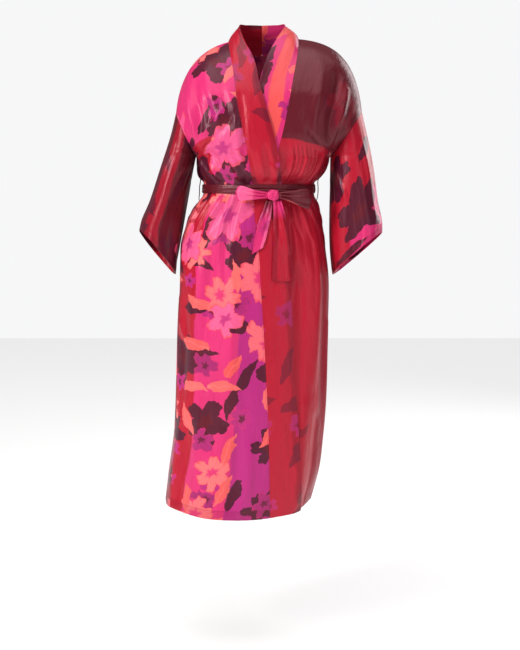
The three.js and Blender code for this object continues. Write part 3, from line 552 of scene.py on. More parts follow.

# %% Creases listed one by one on the back
BACK_CREASES = [
    [1.10, -378, 1.08, -430, 1.12, -510, 5, 2.4],
    [1.18, -378, 1.20, -450, 1.17, -560, 6, -2.0],
    [1.34, -377, 1.33, -440, 1.37, -530, 5, 2.2],
    [1.50, -378, 1.53, -450, 1.50, -580, 6, 2.4],
    [1.66, -377, 1.67, -420, 1.70, -500, 5, -2.2],
    [1.83, -378, 1.84, -450, 1.81, -560, 6, 2.2],
    [1.99, -377, 2.01, -430, 2.00, -520, 5, -2.0],
    [2.16, -378, 2.15, -450, 2.19, -590, 6, 2.6],
    [2.33, -377, 2.36, -430, 2.33, -500, 5, 2.0],
    [2.48, -378, 2.48, -440, 2.52, -540, 5, -2.2],
    [2.64, -377, 2.66, -450, 2.63, -570, 6, 2.2],
    [2.82, -378, 2.84, -430, 2.82, -500, 5, 2.0],
    [2.93, -395, 2.90, -430, 2.92, -470, 4, -1.6],
    [1.07, -395, 1.10, -425, 1.07, -460, 4, -1.6],
    [1.10, -346, 1.08, -310, 1.06, -280, 5, 2.2],
    [1.22, -346, 1.20, -300, 1.14, -240, 6, 2.2],
    [1.36, -346, 1.34, -300, 1.30, -230, 6, -1.8],
    [1.52, -346, 1.50, -290, 1.46, -210, 6, 2.4],
    [1.68, -346, 1.68, -300, 1.66, -240, 6, -2.0],
    [1.84, -346, 1.85, -290, 1.84, -200, 6, 2.0],
    [2.00, -346, 2.01, -300, 2.02, -230, 6, -1.8],
    [2.17, -346, 2.17, -290, 2.20, -210, 6, 2.4],
    [2.34, -346, 2.36, -300, 2.38, -240, 6, 2.0],
    [2.50, -346, 2.52, -300, 2.58, -230, 6, -2.0],
    [2.66, -346, 2.70, -300, 2.76, -240, 6, 2.2],
    [2.82, -346, 2.86, -312, 2.92, -280, 5, 2.0],
    [1.28, -90, 1.22, -150, 1.24, -230, 12, -3.0],
    [2.72, -90, 2.78, -150, 2.76, -230, 12, -3.0],
    [1.40, -60, 1.36, -130, 1.40, -210, 11, 2.0],
    [2.58, -60, 2.62, -130, 2.58, -210, 11, 2.0],
    [1.70, -120, 1.80, -150, 1.95, -158, 12, 1.4],
    [2.10, -170, 2.25, -180, 2.40, -176, 12, 1.4],
    [1.42, -560, 1.44, -720, 1.40, -900, 15, -2.8],
    [1.60, -600, 1.62, -780, 1.60, -980, 15, 2.6],
    [1.94, -560, 1.97, -740, 1.93, -960, 16, 2.6],
    [2.06, -640, 2.05, -800, 2.08, -980, 14, -2.6],
    [2.40, -560, 2.42, -760, 2.39, -980, 15, 2.8],
    [2.52, -640, 2.50, -820, 2.54, -1000, 13, -2.4],
    [2.80, -600, 2.82, -800, 2.80, -1010, 14, 2.6],
    [1.15, -600, 1.17, -800, 1.14, -1010, 14, 2.4],
    [1.50, -940, 1.48, -1050, 1.52, -1160, 15, -2.6],
    [1.86, -960, 1.88, -1060, 1.84, -1160, 14, -2.2],
    [2.30, -960, 2.32, -1060, 2.29, -1162, 14, -2.4],
    [2.74, -950, 2.72, -1060, 2.75, -1162, 14, -2.4],
]


# %% How deep the creases make the cloth
CREASE_PARTS = 8
PLACE_MM = 250


def bent(start, middle, end):
    """Values along a bent path from its start to its end."""
    t = np.linspace(0, 1, CREASE_PARTS + 1)
    return (1 - t) ** 2 * start + 2 * t * (1 - t) * middle + t * t * end


def crease_depth(crease, x, y, scale_x, scale_y, period=None):
    """Depth of one bent crease on any surface, given its coordinates and their millimetres."""
    x0, y0, x1, y1, x2, y2, width, height = crease
    path_x = bent(x0, x1, x2)
    path_y = bent(y0, y1, y2)
    nearest = np.full(np.broadcast(x, y).shape, 1e9)
    along = np.zeros(nearest.shape)
    for part in range(CREASE_PARTS):
        away_x = x - path_x[part]
        if period:
            away_x = away_x - period * np.round(away_x / period)
        away_x = away_x * scale_x
        away_y = (y - path_y[part]) * scale_y
        dx = (path_x[part + 1] - path_x[part]) * scale_x
        dy = (path_y[part + 1] - path_y[part]) * scale_y
        share = np.clip((away_x * dx + away_y * dy) / (dx * dx + dy * dy), 0, 1)
        gap = np.hypot(away_x - share * dx, away_y - share * dy)
        closer = gap < nearest
        along = np.where(closer, (part + share) / CREASE_PARTS, along)
        nearest = np.where(closer, gap, nearest)
    fade = np.sin(np.pi * np.clip(0.12 + 0.88 * along, 0, 1)) ** 0.7
    return height * fade * np.exp(-(nearest / width) ** 2)


def crease_depths(creases, places, lengths):
    """Adds up the creases of a panel, each on the levels that it reaches."""
    depth = np.zeros(lengths.shape)
    for crease in creases:
        levels = bent(crease[1], crease[3], crease[5])
        middle = (levels.min() + levels.max()) / 2
        rows = np.abs(LEVELS - middle) < np.ptp(levels) / 2 + 4 * crease[6]
        depth[rows] += crease_depth(crease, places[None, :], LEVELS[rows, None], PLACE_MM, 1)
    return depth


# %% Small waves where a stitched hem puckers
def hem_waves(around, above):
    """Uneven little waves near the hem, in millimetres."""
    turn = around * math.pi / 2
    wave = np.sin(39 * turn + 1.3) + 0.7 * np.sin(62 * turn + 0.4) + 0.5 * np.sin(96 * turn)
    return 0.45 * wave * np.exp(-((above - 20) / 22) ** 2)


# %% Adding up the depths
BELT_PRESS_HALF = 11
BELT_PRESS_SOFT = 14
front_lengths = lattice_lengths(FRONT_PLACES, length_front_right, length_front_left)
back_lengths = lattice_lengths(BACK_PLACES, length_back_right, length_back_left)
front_depth = fold_depths(FRONT_PLACES, front_lengths, -1)
back_depth = fold_depths(BACK_PLACES, back_lengths, 1)
from_belt = np.abs(LEVELS - (BELT_TOP + BELT_BOTTOM) / 2)
belt_press = smooth((from_belt - BELT_PRESS_HALF) / BELT_PRESS_SOFT)[:, None]


def seam_hold(places, lengths, middle):
    """Seams lie flat: no crease reaches the shoulder seam or the armhole."""
    to_armhole = 1 - np.abs(places[None, :] - middle)
    to_shoulder = SHOULDER_LEVEL - 12 - LEVELS[:, None]
    hold = smooth(to_armhole * lengths / ARMHOLE_FADE) * smooth(to_shoulder / 50)
    return np.where(LEVELS[:, None] > UNDERARM_LEVEL, hold, 1)


front_creases = crease_depths(FRONT_CREASES, FRONT_PLACES, front_lengths)
back_creases = crease_depths(BACK_CREASES, BACK_PLACES, back_lengths)
front_depth += CREASE_STRENGTH * belt_press * front_creases * seam_hold(FRONT_PLACES, front_lengths, 0)
back_depth += CREASE_STRENGTH * belt_press * back_creases * seam_hold(BACK_PLACES, back_lengths, 2)
front_depth += hem_waves(FRONT_PLACES[None, :], LEVELS[:, None] - HEM_LEVEL)
back_depth += hem_waves(BACK_PLACES[None, :], LEVELS[:, None] - HEM_LEVEL)
print("Creases:", len(FRONT_CREASES) + len(BACK_CREASES))
print("Deepest fold, mm:", round(float(front_depth.max()), 1), round(float(back_depth.max()), 1))

# %% The folded cloth, over and under the lap
LAP_MARGIN = 15
LAP_TOP = -98
LAP_SIDE_FADE = 40
COLLAR_FADE = 70
front_x = front_plain[:, :, 0]
over_edge = read(BAND_LINES, "z", "overEdge", np.minimum(front_plain[:, :, 2], LAP_TOP))
lap_aside = smooth((over_edge + LAP_FADE + LAP_MARGIN - front_x) / LAP_FADE)
lap = -LAP_DEPTH * lap_aside * (1 - smooth((LEVELS[:, None] - COLLAR_LEVEL) / COLLAR_FADE))
lap = lap * smooth((1 - FRONT_PLACES[None, :]) * front_lengths / LAP_SIDE_FADE)
over_cloth = front_plain + front_normals * front_depth[:, :, None]
under_cloth = front_plain + front_normals * (front_depth + lap)[:, :, None]
back_cloth = back_plain + back_normals * back_depth[:, :, None]
over_normals = lattice_normals(over_cloth)
under_normals = lattice_normals(under_cloth)
cloth_back_normals = lattice_normals(back_cloth)
join_sides(over_normals, cloth_back_normals)


# %% [markdown]
# From points to a sheet of satin.
#
# A sheet of cloth is a grid of points. To become a solid thing it needs two faces and a rim,
# a fraction of a millimetre apart. Blender's Solidify modifier could do it, but the normals
# are already at hand here, so the two faces and the rim are written straight into one mesh.
# Each sheet also gets a UV map in metres of flat cloth, so that the print is spread on the
# panel as it was on the bolt, before the cutting.

# %% Making a thin sheet
SHARP_EDGE = math.radians(55)


def sheet_mesh(name, points, thickness, flat, tube=False, normals=None):
    """Closed thin sheet round a grid of points in mm. The flat is (u, v) grids in metres."""
    rows, columns, _ = points.shape
    if normals is None:
        padded = np.concatenate([points[:, -1:], points, points[:, :1]], axis=1) if tube else points
        normals = lattice_normals(padded)
        normals = normals[:, 1:-1] if tube else normals
    half = thickness / 2
    outer = points + normals * (half if np.isscalar(half) else half[..., None])
    inner = points - normals * (half if np.isscalar(half) else half[..., None])
    vertices = np.concatenate([outer.reshape(-1, 3), inner.reshape(-1, 3)]) / 1000
    cells = columns if tube else columns - 1
    row, column = np.meshgrid(np.arange(rows - 1), np.arange(cells), indexing="ij")
    after = (column + 1) % columns
    a = row * columns + column
    b = row * columns + after
    c = (row + 1) * columns + after
    d = (row + 1) * columns + column
    count = rows * columns
    front = np.stack([a, b, c, d], axis=-1).reshape(-1, 4)
    behind = np.stack([a, d, c, b], axis=-1).reshape(-1, 4) + count
    edge = []
    column = np.arange(cells)
    after = (column + 1) % columns
    top = (rows - 1) * columns
    edge.append(np.stack([after, column, count + column, count + after], axis=-1))
    edge.append(np.stack([top + column, top + after, count + top + after, count + top + column], axis=-1))
    if not tube:
        low = np.arange(rows - 1) * columns
        high = low + columns
        last = columns - 1
        ends = [low + last, count + low + last, count + high + last, high + last]
        edge.append(np.stack(ends, axis=-1)[:, ::-1])
        edge.append(np.stack([high, count + high, count + low, low], axis=-1)[:, ::-1])
    faces = np.concatenate([front, behind] + edge)
    mesh = bpy.data.meshes.new(name)
    mesh.from_pydata(vertices.tolist(), [], faces.tolist())
    u, v = flat
    u_end = 2 * u[:, -1] - u[:, -2]
    u_wide = np.concatenate([u, u_end[:, None]], axis=1)
    v_wide = np.concatenate([v, v[:, -1:]], axis=1)
    corners = np.empty(len(mesh.loops), np.int64)
    mesh.loops.foreach_get("vertex_index", corners)
    corners %= count
    corner_row = corners // columns
    corner_column = corners % columns
    if tube:
        spans = np.repeat(np.ptp(faces % count % columns, axis=1), 4)
        corner_column = np.where((spans == columns - 1) & (corner_column == 0), columns, corner_column)
    layer = mesh.uv_layers.new(name="FlatCloth")
    pairs = np.stack([u_wide[corner_row, corner_column], v_wide[corner_row, corner_column]], axis=-1)
    layer.data.foreach_set("uv", pairs.astype(np.float32).ravel())
    mesh.shade_smooth()
    mesh.set_sharp_from_angle(angle=SHARP_EDGE)
    mesh.update()
    piece = bpy.data.objects.new(name, mesh)
    bpy.context.collection.objects.link(piece)
    return piece


def sheet_area(piece):
    """Area of the middle of a thin sheet, in square metres."""
    return sum(face.area for face in piece.data.polygons) / 2


def settle(piece, node, material):
    """Puts a finished piece on the frame in place of its CAD solid."""
    piece.data.materials.append(material)
    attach(piece, "root")
    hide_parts(node)
    print(piece.name, "faces:", len(piece.data.polygons), "area m2:", round(sheet_area(piece), 3))


# %% [markdown]
# The printed satin.
#
# The real cloth is polyester satin with a large painterly flower print. This print is a plain
# generic one of the same colours and scale. It is drawn by shader nodes on the flat cloth, so
# it bends with every fold. A cell pattern gives each flower a centre, and the angle round that
# centre gives its petals. Leaves come the same way from a long thin shape. An image texture
# would be simpler to paint, but nodes stay sharp at any distance and need no file.

# %% Helpers for shader nodes
def linear(red, green, blue):
    """Turns a screen colour of 0 to 255 into the linear colour that Blender uses."""
    def channel(value):
        share = value / 255
        return share / 12.92 if share <= 0.04045 else ((share + 0.055) / 1.055) ** 2.4
    return (channel(red), channel(green), channel(blue), 1)


class Nodes:
    """A short way to add nodes to one material."""

    def __init__(self, material):
        material.use_nodes = True
        self.tree = material.node_tree
        self.tree.nodes.clear()

    def add(self, kind, inputs=None, **settings):
        node = self.tree.nodes.new(kind)
        for name, value in settings.items():
            setattr(node, name, value)
        for name, value in (inputs or {}).items():
            if isinstance(value, bpy.types.NodeSocket):
                self.tree.links.new(value, node.inputs[name])
            else:
                node.inputs[name].default_value = value
        return node

    def math(self, operation, first, second=None, third=None, clamp=False):
        inputs = {0: first}
        if second is not None:
            inputs[1] = second
        if third is not None:
            inputs[2] = third
        return self.add("ShaderNodeMath", inputs, operation=operation, use_clamp=clamp).outputs[0]

    def vector(self, operation, first, second=None):
        inputs = {0: first}
        if second is not None:
            inputs[1] = second
        node = self.add("ShaderNodeVectorMath", inputs, operation=operation)
        return node.outputs["Value"] if operation in ("LENGTH", "DOT_PRODUCT") else node.outputs[0]

    def blend(self, share, first, second, mode="MIX"):
        node = self.add("ShaderNodeMix", {0: share}, data_type="RGBA", blend_type=mode)
        for slot, value in ((6, first), (7, second)):
            if isinstance(value, bpy.types.NodeSocket):
                self.tree.links.new(value, node.inputs[slot])
            else:
                node.inputs[slot].default_value = value
        return node.outputs[2]

    def ramp(self, factor, stops, interpolation="LINEAR"):
        node = self.add("ShaderNodeValToRGB", {0: factor})
        node.color_ramp.interpolation = interpolation
        elements = node.color_ramp.elements
        while len(elements) > 1:
            elements.remove(elements[-1])
        elements[0].position = stops[0][0]
        elements[0].color = stops[0][1]
        for position, colour in stops[1:]:
            elements.new(position).color = colour
        return node.outputs[0]


# %% Colours of the print
CRIMSON = linear(186, 20, 45)
DEEP_CRIMSON = linear(156, 15, 38)
BROWN_RED = linear(98, 20, 32)
PLUM = linear(78, 18, 44)
HOT_PINK = linear(222, 46, 114)
LIGHT_PINK = linear(248, 96, 150)
MAGENTA = linear(186, 38, 122)
CORAL = linear(240, 84, 84)
LIGHT_CORAL = linear(252, 124, 120)


# %% Flowers and leaves of the print
FULL_TURN = 6.28
CRISP = 900


def flower_layer(nodes, cloth, size, radius, petals, cover, shift):
    """Masks of one layer of flowers: the petals, and how far out each point lies on them."""
    moved = nodes.vector("ADD", cloth, shift)
    cells = nodes.add("ShaderNodeTexVoronoi", {"Vector": moved, "Scale": 1 / size, "Randomness": 0.7},
                      voronoi_dimensions="2D", feature="F1")
    away = nodes.vector("SUBTRACT", moved, cells.outputs["Position"])
    parts = nodes.add("ShaderNodeSeparateXYZ", {0: away})
    chance = nodes.add("ShaderNodeSeparateColor", {0: cells.outputs["Color"]})
    turn = nodes.math("MULTIPLY", chance.outputs[0], FULL_TURN)
    angle = nodes.math("ADD", nodes.math("ARCTAN2", parts.outputs[1], parts.outputs[0]), turn)
    distance = nodes.vector("LENGTH", away)
    wave = nodes.math("ABSOLUTE", nodes.math("COSINE", nodes.math("MULTIPLY", angle, petals / 2)))
    notch = nodes.math("ABSOLUTE", nodes.math("SINE", nodes.math("MULTIPLY", angle, petals * 1.5)))
    lobe = nodes.math("MULTIPLY_ADD", nodes.math("POWER", wave, 0.8), 0.5, 0.42)
    lobe = nodes.math("MULTIPLY_ADD", notch, 0.1, lobe)
    grow = nodes.math("MULTIPLY_ADD", chance.outputs[1], 0.5, 0.75)
    edge = nodes.math("MULTIPLY", nodes.math("MULTIPLY", lobe, grow), radius)
    inside = nodes.math("MULTIPLY", nodes.math("SUBTRACT", edge, distance), CRISP, clamp=True)
    there = nodes.math("LESS_THAN", chance.outputs[2], cover)
    mask = nodes.math("MULTIPLY", inside, there)
    outward = nodes.math("DIVIDE", distance, edge)
    streak = nodes.math("COSINE", nodes.math("MULTIPLY", angle, petals * 4))
    return mask, outward, streak, chance.outputs[1]


def leaf_layer(nodes, cloth, size, length, width, cover, shift):
    """Masks of one layer of pointed leaves, each with a vein along its middle."""
    moved = nodes.vector("ADD", cloth, shift)
    cells = nodes.add("ShaderNodeTexVoronoi", {"Vector": moved, "Scale": 1 / size, "Randomness": 0.8},
                      voronoi_dimensions="2D", feature="F1")
    away = nodes.vector("SUBTRACT", moved, cells.outputs["Position"])
    chance = nodes.add("ShaderNodeSeparateColor", {0: cells.outputs["Color"]})
    turned = nodes.add("ShaderNodeVectorRotate", {
        "Vector": away,
        "Angle": nodes.math("MULTIPLY", chance.outputs[1], FULL_TURN),
    }, rotation_type="Z_AXIS")
    parts = nodes.add("ShaderNodeSeparateXYZ", {0: turned.outputs[0]})
    along = nodes.math("DIVIDE", parts.outputs[1], length)
    taper = nodes.math("SUBTRACT", 1.0, nodes.math("MULTIPLY", along, along))
    side = nodes.math("ABSOLUTE", parts.outputs[0])
    room = nodes.math("SUBTRACT", nodes.math("MULTIPLY", taper, width), side)
    inside = nodes.math("MULTIPLY", room, CRISP, clamp=True)
    there = nodes.math("LESS_THAN", chance.outputs[0], cover)
    vein = nodes.math("MULTIPLY", nodes.math("SUBTRACT", 0.0011, side), 1500, clamp=True)
    return nodes.math("MULTIPLY", inside, there), vein, chance.outputs[2]


# %% The satin itself
def printed_satin(name, blocks, flowers, place, lively=1.0, upward=None, turned_up=None):
    """Satin with colour blocks across the cloth, flowers and leaves over them, and painted shade on a
    turned-up hem.
    """
    material = bpy.data.materials.new(name)
    nodes = Nodes(material)
    flat = nodes.add("ShaderNodeUVMap", uv_map="FlatCloth").outputs[0]
    cloth = nodes.add("ShaderNodeMapping", {"Vector": flat, "Location": (place[0], place[1], 0)}).outputs[0]
    drift = nodes.add("ShaderNodeTexNoise", {"Vector": cloth, "Scale": 9.0, "Detail": 3.0})
    drifting = nodes.vector("MULTIPLY", nodes.vector("SUBTRACT", drift.outputs["Color"], (0.5, 0.5, 0.5)),
                            (0.03, 0.03, 0.0))
    wavy = nodes.vector("ADD", cloth, drifting)
    fine = nodes.add("ShaderNodeTexNoise", {"Vector": cloth, "Scale": 26.0, "Detail": 4.0})
    ragged = nodes.vector("MULTIPLY", nodes.vector("SUBTRACT", fine.outputs["Color"], (0.5, 0.5, 0.5)),
                          (0.036, 0.036, 0.0))
    petal_cloth = nodes.vector("ADD", cloth, ragged)

    parts = nodes.add("ShaderNodeSeparateXYZ", {0: nodes.vector("ADD", flat, drifting)})
    stops = [(0.0, blocks[0][1])]
    for (start, tone), (_, before) in zip(blocks[1:], blocks):
        stops += [(start - 0.0015, before), (start + 0.0015, tone)]
    colour = nodes.ramp(parts.outputs[0], stops)
    if upward is not None:
        height, soft, upper = upward
        share = nodes.math("MULTIPLY", nodes.math("SUBTRACT", parts.outputs[1], height), 1 / soft, clamp=True)
        colour = nodes.blend(share, colour, upper)
    brush = nodes.add("ShaderNodeMapping", {"Vector": wavy, "Scale": (60.0, 5.0, 1.0)}).outputs[0]
    strokes = nodes.add("ShaderNodeTexNoise", {"Vector": brush, "Scale": 1.0, "Detail": 2.0}).outputs[0]
    stroke_share = nodes.math("MULTIPLY", nodes.math("SUBTRACT", strokes, 0.5), 0.5, clamp=True)
    colour = nodes.blend(stroke_share, colour, BROWN_RED)

    for kind, settings in flowers:
        if kind == "leaf":
            size, length, width, cover, shift, body, line = settings
            mask, vein, chance = leaf_layer(nodes, petal_cloth, size, length, width, cover, shift)
            leaf = nodes.blend(nodes.math("MULTIPLY", chance, 0.5), body, line)
            leaf = nodes.blend(nodes.math("MULTIPLY", vein, 0.7), leaf, line)
            colour = nodes.blend(nodes.math("MULTIPLY", mask, lively), colour, leaf)
        else:
            size, radius, petals, cover, shift, heart, body, rim = settings
            made = flower_layer(nodes, petal_cloth, size, radius, petals, cover, shift)
            mask, outward, streak, chance = made
            petal_stops = [(0.0, heart), (0.22, heart), (0.4, body), (0.86, body), (0.97, rim)]
            petal = nodes.ramp(outward, petal_stops)
            shade = nodes.math("MULTIPLY", nodes.math("MULTIPLY_ADD", streak, 0.5, 0.5), 0.28)
            petal = nodes.blend(shade, petal, rim)
            petal = nodes.blend(nodes.math("MULTIPLY", chance, 0.35), petal, heart)
            colour = nodes.blend(nodes.math("MULTIPLY", mask, lively), colour, petal)

    # Painted shade: below the turned-up hem line the colour is darkened, and a darker line of painted shade
    # runs along that line.
    if turned_up is not None:
        height = nodes.add("ShaderNodeSeparateXYZ", {0: flat}).outputs[1]
        double = nodes.math("MULTIPLY", nodes.math("SUBTRACT", turned_up, height), CRISP, clamp=True)
        off_line = nodes.math("ABSOLUTE", nodes.math("SUBTRACT", height, turned_up))
        line = nodes.math("MULTIPLY", nodes.math("SUBTRACT", 0.0016, off_line), 700, clamp=True)
        shade = nodes.math("MULTIPLY_ADD", double, 0.22, nodes.math("MULTIPLY", line, 0.35))
        colour = nodes.blend(shade, colour, BROWN_RED)
    weave = nodes.add("ShaderNodeMapping", {"Vector": flat, "Scale": (2600.0, 900.0, 1.0)}).outputs[0]
    floats = nodes.add("ShaderNodeTexNoise", {"Vector": weave, "Scale": 1.0, "Detail": 1.0}).outputs[0]
    slub = nodes.add("ShaderNodeMapping", {"Vector": flat, "Scale": (38.0, 11.0, 1.0)}).outputs[0]
    crinkle = nodes.add("ShaderNodeTexNoise", {"Vector": slub, "Scale": 1.0, "Detail": 3.0,
                                               "Roughness": 0.55})
    bump = nodes.add("ShaderNodeBump", {"Height": crinkle.outputs[0], "Strength": 0.6, "Distance": 0.006})
    bump = nodes.add("ShaderNodeBump", {"Height": floats, "Strength": 0.22, "Distance": 0.0003,
                                        "Normal": bump.outputs[0]})
    tone = nodes.math("MULTIPLY", nodes.math("SUBTRACT", floats, 0.35), 0.28, clamp=True)
    colour = nodes.blend(tone, colour, nodes.blend(0.5, colour, PLUM))
    gloss = nodes.math("MULTIPLY_ADD", crinkle.outputs[0], 0.14, 0.3)
    surface = nodes.add("ShaderNodeBsdfPrincipled", {
        "Base Color": colour,
        "Roughness": gloss,
        "Normal": bump.outputs[0],
        "Specular IOR Level": 0.5,
        "Specular Tint": (1.0, 0.6, 0.66, 1.0),
        "Sheen Weight": 0.07,
        "Sheen Roughness": 0.35,
        "Sheen Tint": (1.0, 0.55, 0.65, 1.0),
    })
    out = nodes.add("ShaderNodeOutputMaterial")
    nodes.tree.links.new(surface.outputs[0], out.inputs[0])
    return material


# %% [markdown]
# The two fronts and the back.
#
# The right front laps over the left one, as on every kimono style robe. Each front runs from
# its side seam to the seam of the neckband, and the back is one wide panel with a shallow
# neckline. Along the hem the cloth is turned up and sewn, so there the sheet is twice as thick.
# The panels are read from the folded lattice, row by row between their two seams.

# %% Fronts
SATIN_THICKNESS = 0.6
HEM_DEPTH = 22
SEAM_HALF_GAP = 0.15
ROW_LEVELS = np.append(LEVELS[:-1], SHOULDER_LEVEL - 0.2)
OVER_COLUMNS = 112
UNDER_COLUMNS = 150
FRONT_WIDE = 0.26


def hem_thickness(levels, columns):
    turned = smooth((HEM_LEVEL + HEM_DEPTH + 1.5 - levels) / 3)
    return np.tile((SATIN_THICKNESS * (1 + 0.9 * turned))[:, None], (1, columns))


over_seams = np.array([band_place("overSeam", level) for level in ROW_LEVELS])
under_seams = np.array([band_place("underSeam", level) for level in ROW_LEVELS])
right_seams = side_seam_place(ROW_LEVELS)
gaps_right = SEAM_HALF_GAP / np.interp(ROW_LEVELS, LEVELS, length_front_right)
gaps_left = SEAM_HALF_GAP / np.interp(ROW_LEVELS, LEVELS, length_front_left)

share = np.linspace(0, 1, OVER_COLUMNS)[None, :]
over_places = mix((right_seams + gaps_right)[:, None], (over_seams - gaps_right)[:, None], share)
over_levels = np.tile(ROW_LEVELS[:, None], (1, OVER_COLUMNS))
over_points = lookup(over_cloth, FRONT_PLACES, over_places, over_levels)
over_flat = ((over_places + 1) * FRONT_WIDE, (over_levels - HEM_LEVEL) / 1000)
over_thickness = hem_thickness(ROW_LEVELS, OVER_COLUMNS)
front_right = sheet_mesh("robe_front_right", over_points, over_thickness, over_flat,
                         normals=lookup(over_normals, FRONT_PLACES, over_places, over_levels))

share = np.linspace(0, 1, UNDER_COLUMNS)[None, :]
under_places = mix((under_seams + gaps_left)[:, None], (1 - gaps_left)[:, None], share)
under_levels = np.tile(ROW_LEVELS[:, None], (1, UNDER_COLUMNS))
under_points = lookup(under_cloth, FRONT_PLACES, under_places, under_levels)
under_flat = ((under_places + 0.1) * FRONT_WIDE, (under_levels - HEM_LEVEL) / 1000)
under_thickness = hem_thickness(ROW_LEVELS, UNDER_COLUMNS)
front_left = sheet_mesh("robe_front_left", under_points, under_thickness, under_flat,
                        normals=lookup(under_normals, FRONT_PLACES, under_places, under_levels))
print("Front rows:", len(ROW_LEVELS))

# %% Back, with its neckline
NAPE_DROP = 45
BACK_NECK_START = -157
BACK_ROWS = 203
BACK_COLUMNS = 200
BACK_WIDE = 0.345
over_neck = 1 - abs(band_place("overSeam", SHOULDER_LEVEL))
under_neck = 1 - abs(band_place("underSeam", SHOULDER_LEVEL))


def neckline_level(around):
    """Level of the back neckline, which dips between the two shoulder seams."""
    around = np.asarray(around, float)
    share = np.where(around < 2, under_neck, over_neck)
    inwards = 1 - np.abs(around - 2)
    across = np.clip((1 - inwards) / (1 - share), 0, 1)
    dip = NAPE_DROP * np.sqrt(1 - across ** 2)
    return np.where(inwards <= share, SHOULDER_LEVEL, SHOULDER_LEVEL - dip)


back_rows = np.append(np.linspace(HEM_LEVEL, SHOULDER_LEVEL - 5, BACK_ROWS), SHOULDER_LEVEL - 0.1)
left_edge = 1 + SEAM_HALF_GAP / np.interp(back_rows, LEVELS, length_back_left)
right_gap = SEAM_HALF_GAP / np.interp(back_rows, LEVELS, length_back_right)
right_edge = side_seam_place(back_rows) + 4 - right_gap
back_levels = np.tile(back_rows[:, None], (1, BACK_COLUMNS))
back_share = np.linspace(0, 1, BACK_COLUMNS)[None, :]
back_places = mix(left_edge[:, None], right_edge[:, None], back_share)
climb = np.clip((back_levels - BACK_NECK_START) / (SHOULDER_LEVEL - BACK_NECK_START), 0, 1)
bent_levels = mix(BACK_NECK_START, neckline_level(back_places), climb)
bent_levels = np.where(back_levels > BACK_NECK_START, bent_levels, back_levels)
past_side = back_places > 3
on_back = lookup(back_cloth, BACK_PLACES, np.minimum(back_places, 3), bent_levels)
on_front = lookup(over_cloth, FRONT_PLACES, np.maximum(back_places - 4, -1), back_levels)
back_points = np.where(past_side[..., None], on_front, on_back)
normals_back = lookup(cloth_back_normals, BACK_PLACES, np.minimum(back_places, 3), bent_levels)
normals_front = lookup(over_normals, FRONT_PLACES, np.maximum(back_places - 4, -1), back_levels)
back_flat = ((back_places - 1) * BACK_WIDE, (back_levels - HEM_LEVEL) / 1000)
back = sheet_mesh("robe_back", back_points, hem_thickness(back_rows, BACK_COLUMNS), back_flat,
                  normals=np.where(past_side[..., None], normals_front, normals_back))


# %% [markdown]
# The neckbands.
#
# A kimono robe has no buttons or lapels. One long folded band runs up each front edge, round
# the neck and meets its other half at the nape. Being folded double and pressed, it is a little
# thicker in its middle, and its free edge is a fold, not a cut.

# %% Neckbands
BAND_WIDTH = 75
BAND_COLUMNS = 21
COLLAR_LEAN = 0.35


def neckband(name, side):
    over = side < 0
    cloth = over_cloth if over else under_cloth
    seam_name, edge_name = ("overSeam", "overEdge") if over else ("underSeam", "underEdge")
    x_name, z_name = ("overX", "overZ") if over else ("underX", "underZ")
    neck = over_neck if over else under_neck
    shares = np.linspace(0, 1, BAND_COLUMNS)
    places = shares + (0.1 / BAND_WIDTH) * (1 - shares)
    levels = np.concatenate([ROW_LEVELS, np.linspace(SHOULDER_LEVEL + 2, NAPE_LEVEL, 40)])
    rows = []
    for level in levels:
        if level <= COLLAR_LEVEL:
            start = band_place(seam_name, level)
            end = band_place(edge_name, level)
            across = mix(start, end, places)
            rows.append(lookup(cloth, FRONT_PLACES, across, np.full(BAND_COLUMNS, level)))
            continue
        if level <= SHOULDER_LEVEL:
            seam = lookup(cloth, FRONT_PLACES, band_place(seam_name, level), level)
        else:
            run = (level - SHOULDER_LEVEL) / (NAPE_LEVEL - SHOULDER_LEVEL)
            around = mix(2 - side * (1 - neck), 2, run)
            seam = lookup(back_cloth, BACK_PLACES, around, float(neckline_level(around)))
        names = (x_name, "y", z_name)
        edge = np.array([float(read(COLLAR_EDGE, "level", key, level)) for key in names])
        if not over:
            edge[1] += LAP_DEPTH * (1 - smooth((level - COLLAR_LEVEL) / COLLAR_FADE))
        rise = smooth((level - COLLAR_LEVEL) / (SHOULDER_LEVEL - COLLAR_LEVEL))
        stand = np.array([-side * COLLAR_LEAN, 0, 1]) / math.hypot(COLLAR_LEAN, 1)
        leave = mix(np.array([-side, 0.0, 0.0]), stand, rise)
        leave /= np.linalg.norm(leave)
        length = np.linalg.norm(edge - seam)
        t = places[:, None]
        row = (1 - t) ** 3 * seam + 3 * t * (1 - t) ** 2 * (seam + leave * length * 0.36)
        row = row + 3 * t * t * (1 - t) * mix(edge, seam, 0.3) + t ** 3 * edge
        rows.append(row)
    points = np.array(rows)
    points[-1, :, 0] = side * SEAM_HALF_GAP
    if not over:
        points = points[:, ::-1]
    puff = 1.0 + 0.9 * np.sin(np.pi * np.clip(shares, 0.02, 0.9)) ** 0.5
    puff = puff if over else puff[::-1]
    u = np.tile((shares * (BAND_WIDTH / 1000))[None, :], (len(levels), 1))
    v = np.tile(((levels - HEM_LEVEL) / 1000)[:, None], (1, BAND_COLUMNS))
    return sheet_mesh(name, points, np.tile(puff[None, :], (len(levels), 1)), (u, v))


band_right = neckband("robe_neckband_right", -1)
band_left = neckband("robe_neckband_left", 1)
print("Neckband area m2:", round(sheet_area(band_right), 3), round(sheet_area(band_left), 3))


# %% [markdown]
# The sleeves.
#
# Kimono sleeves are wide tubes that hang from a dropped shoulder. They are made of rings, from
# the armhole to the cuff, and each hangs a little away from the body of the robe. The creases
# start at the underarm, where cloth bunches, and run towards the cuff.

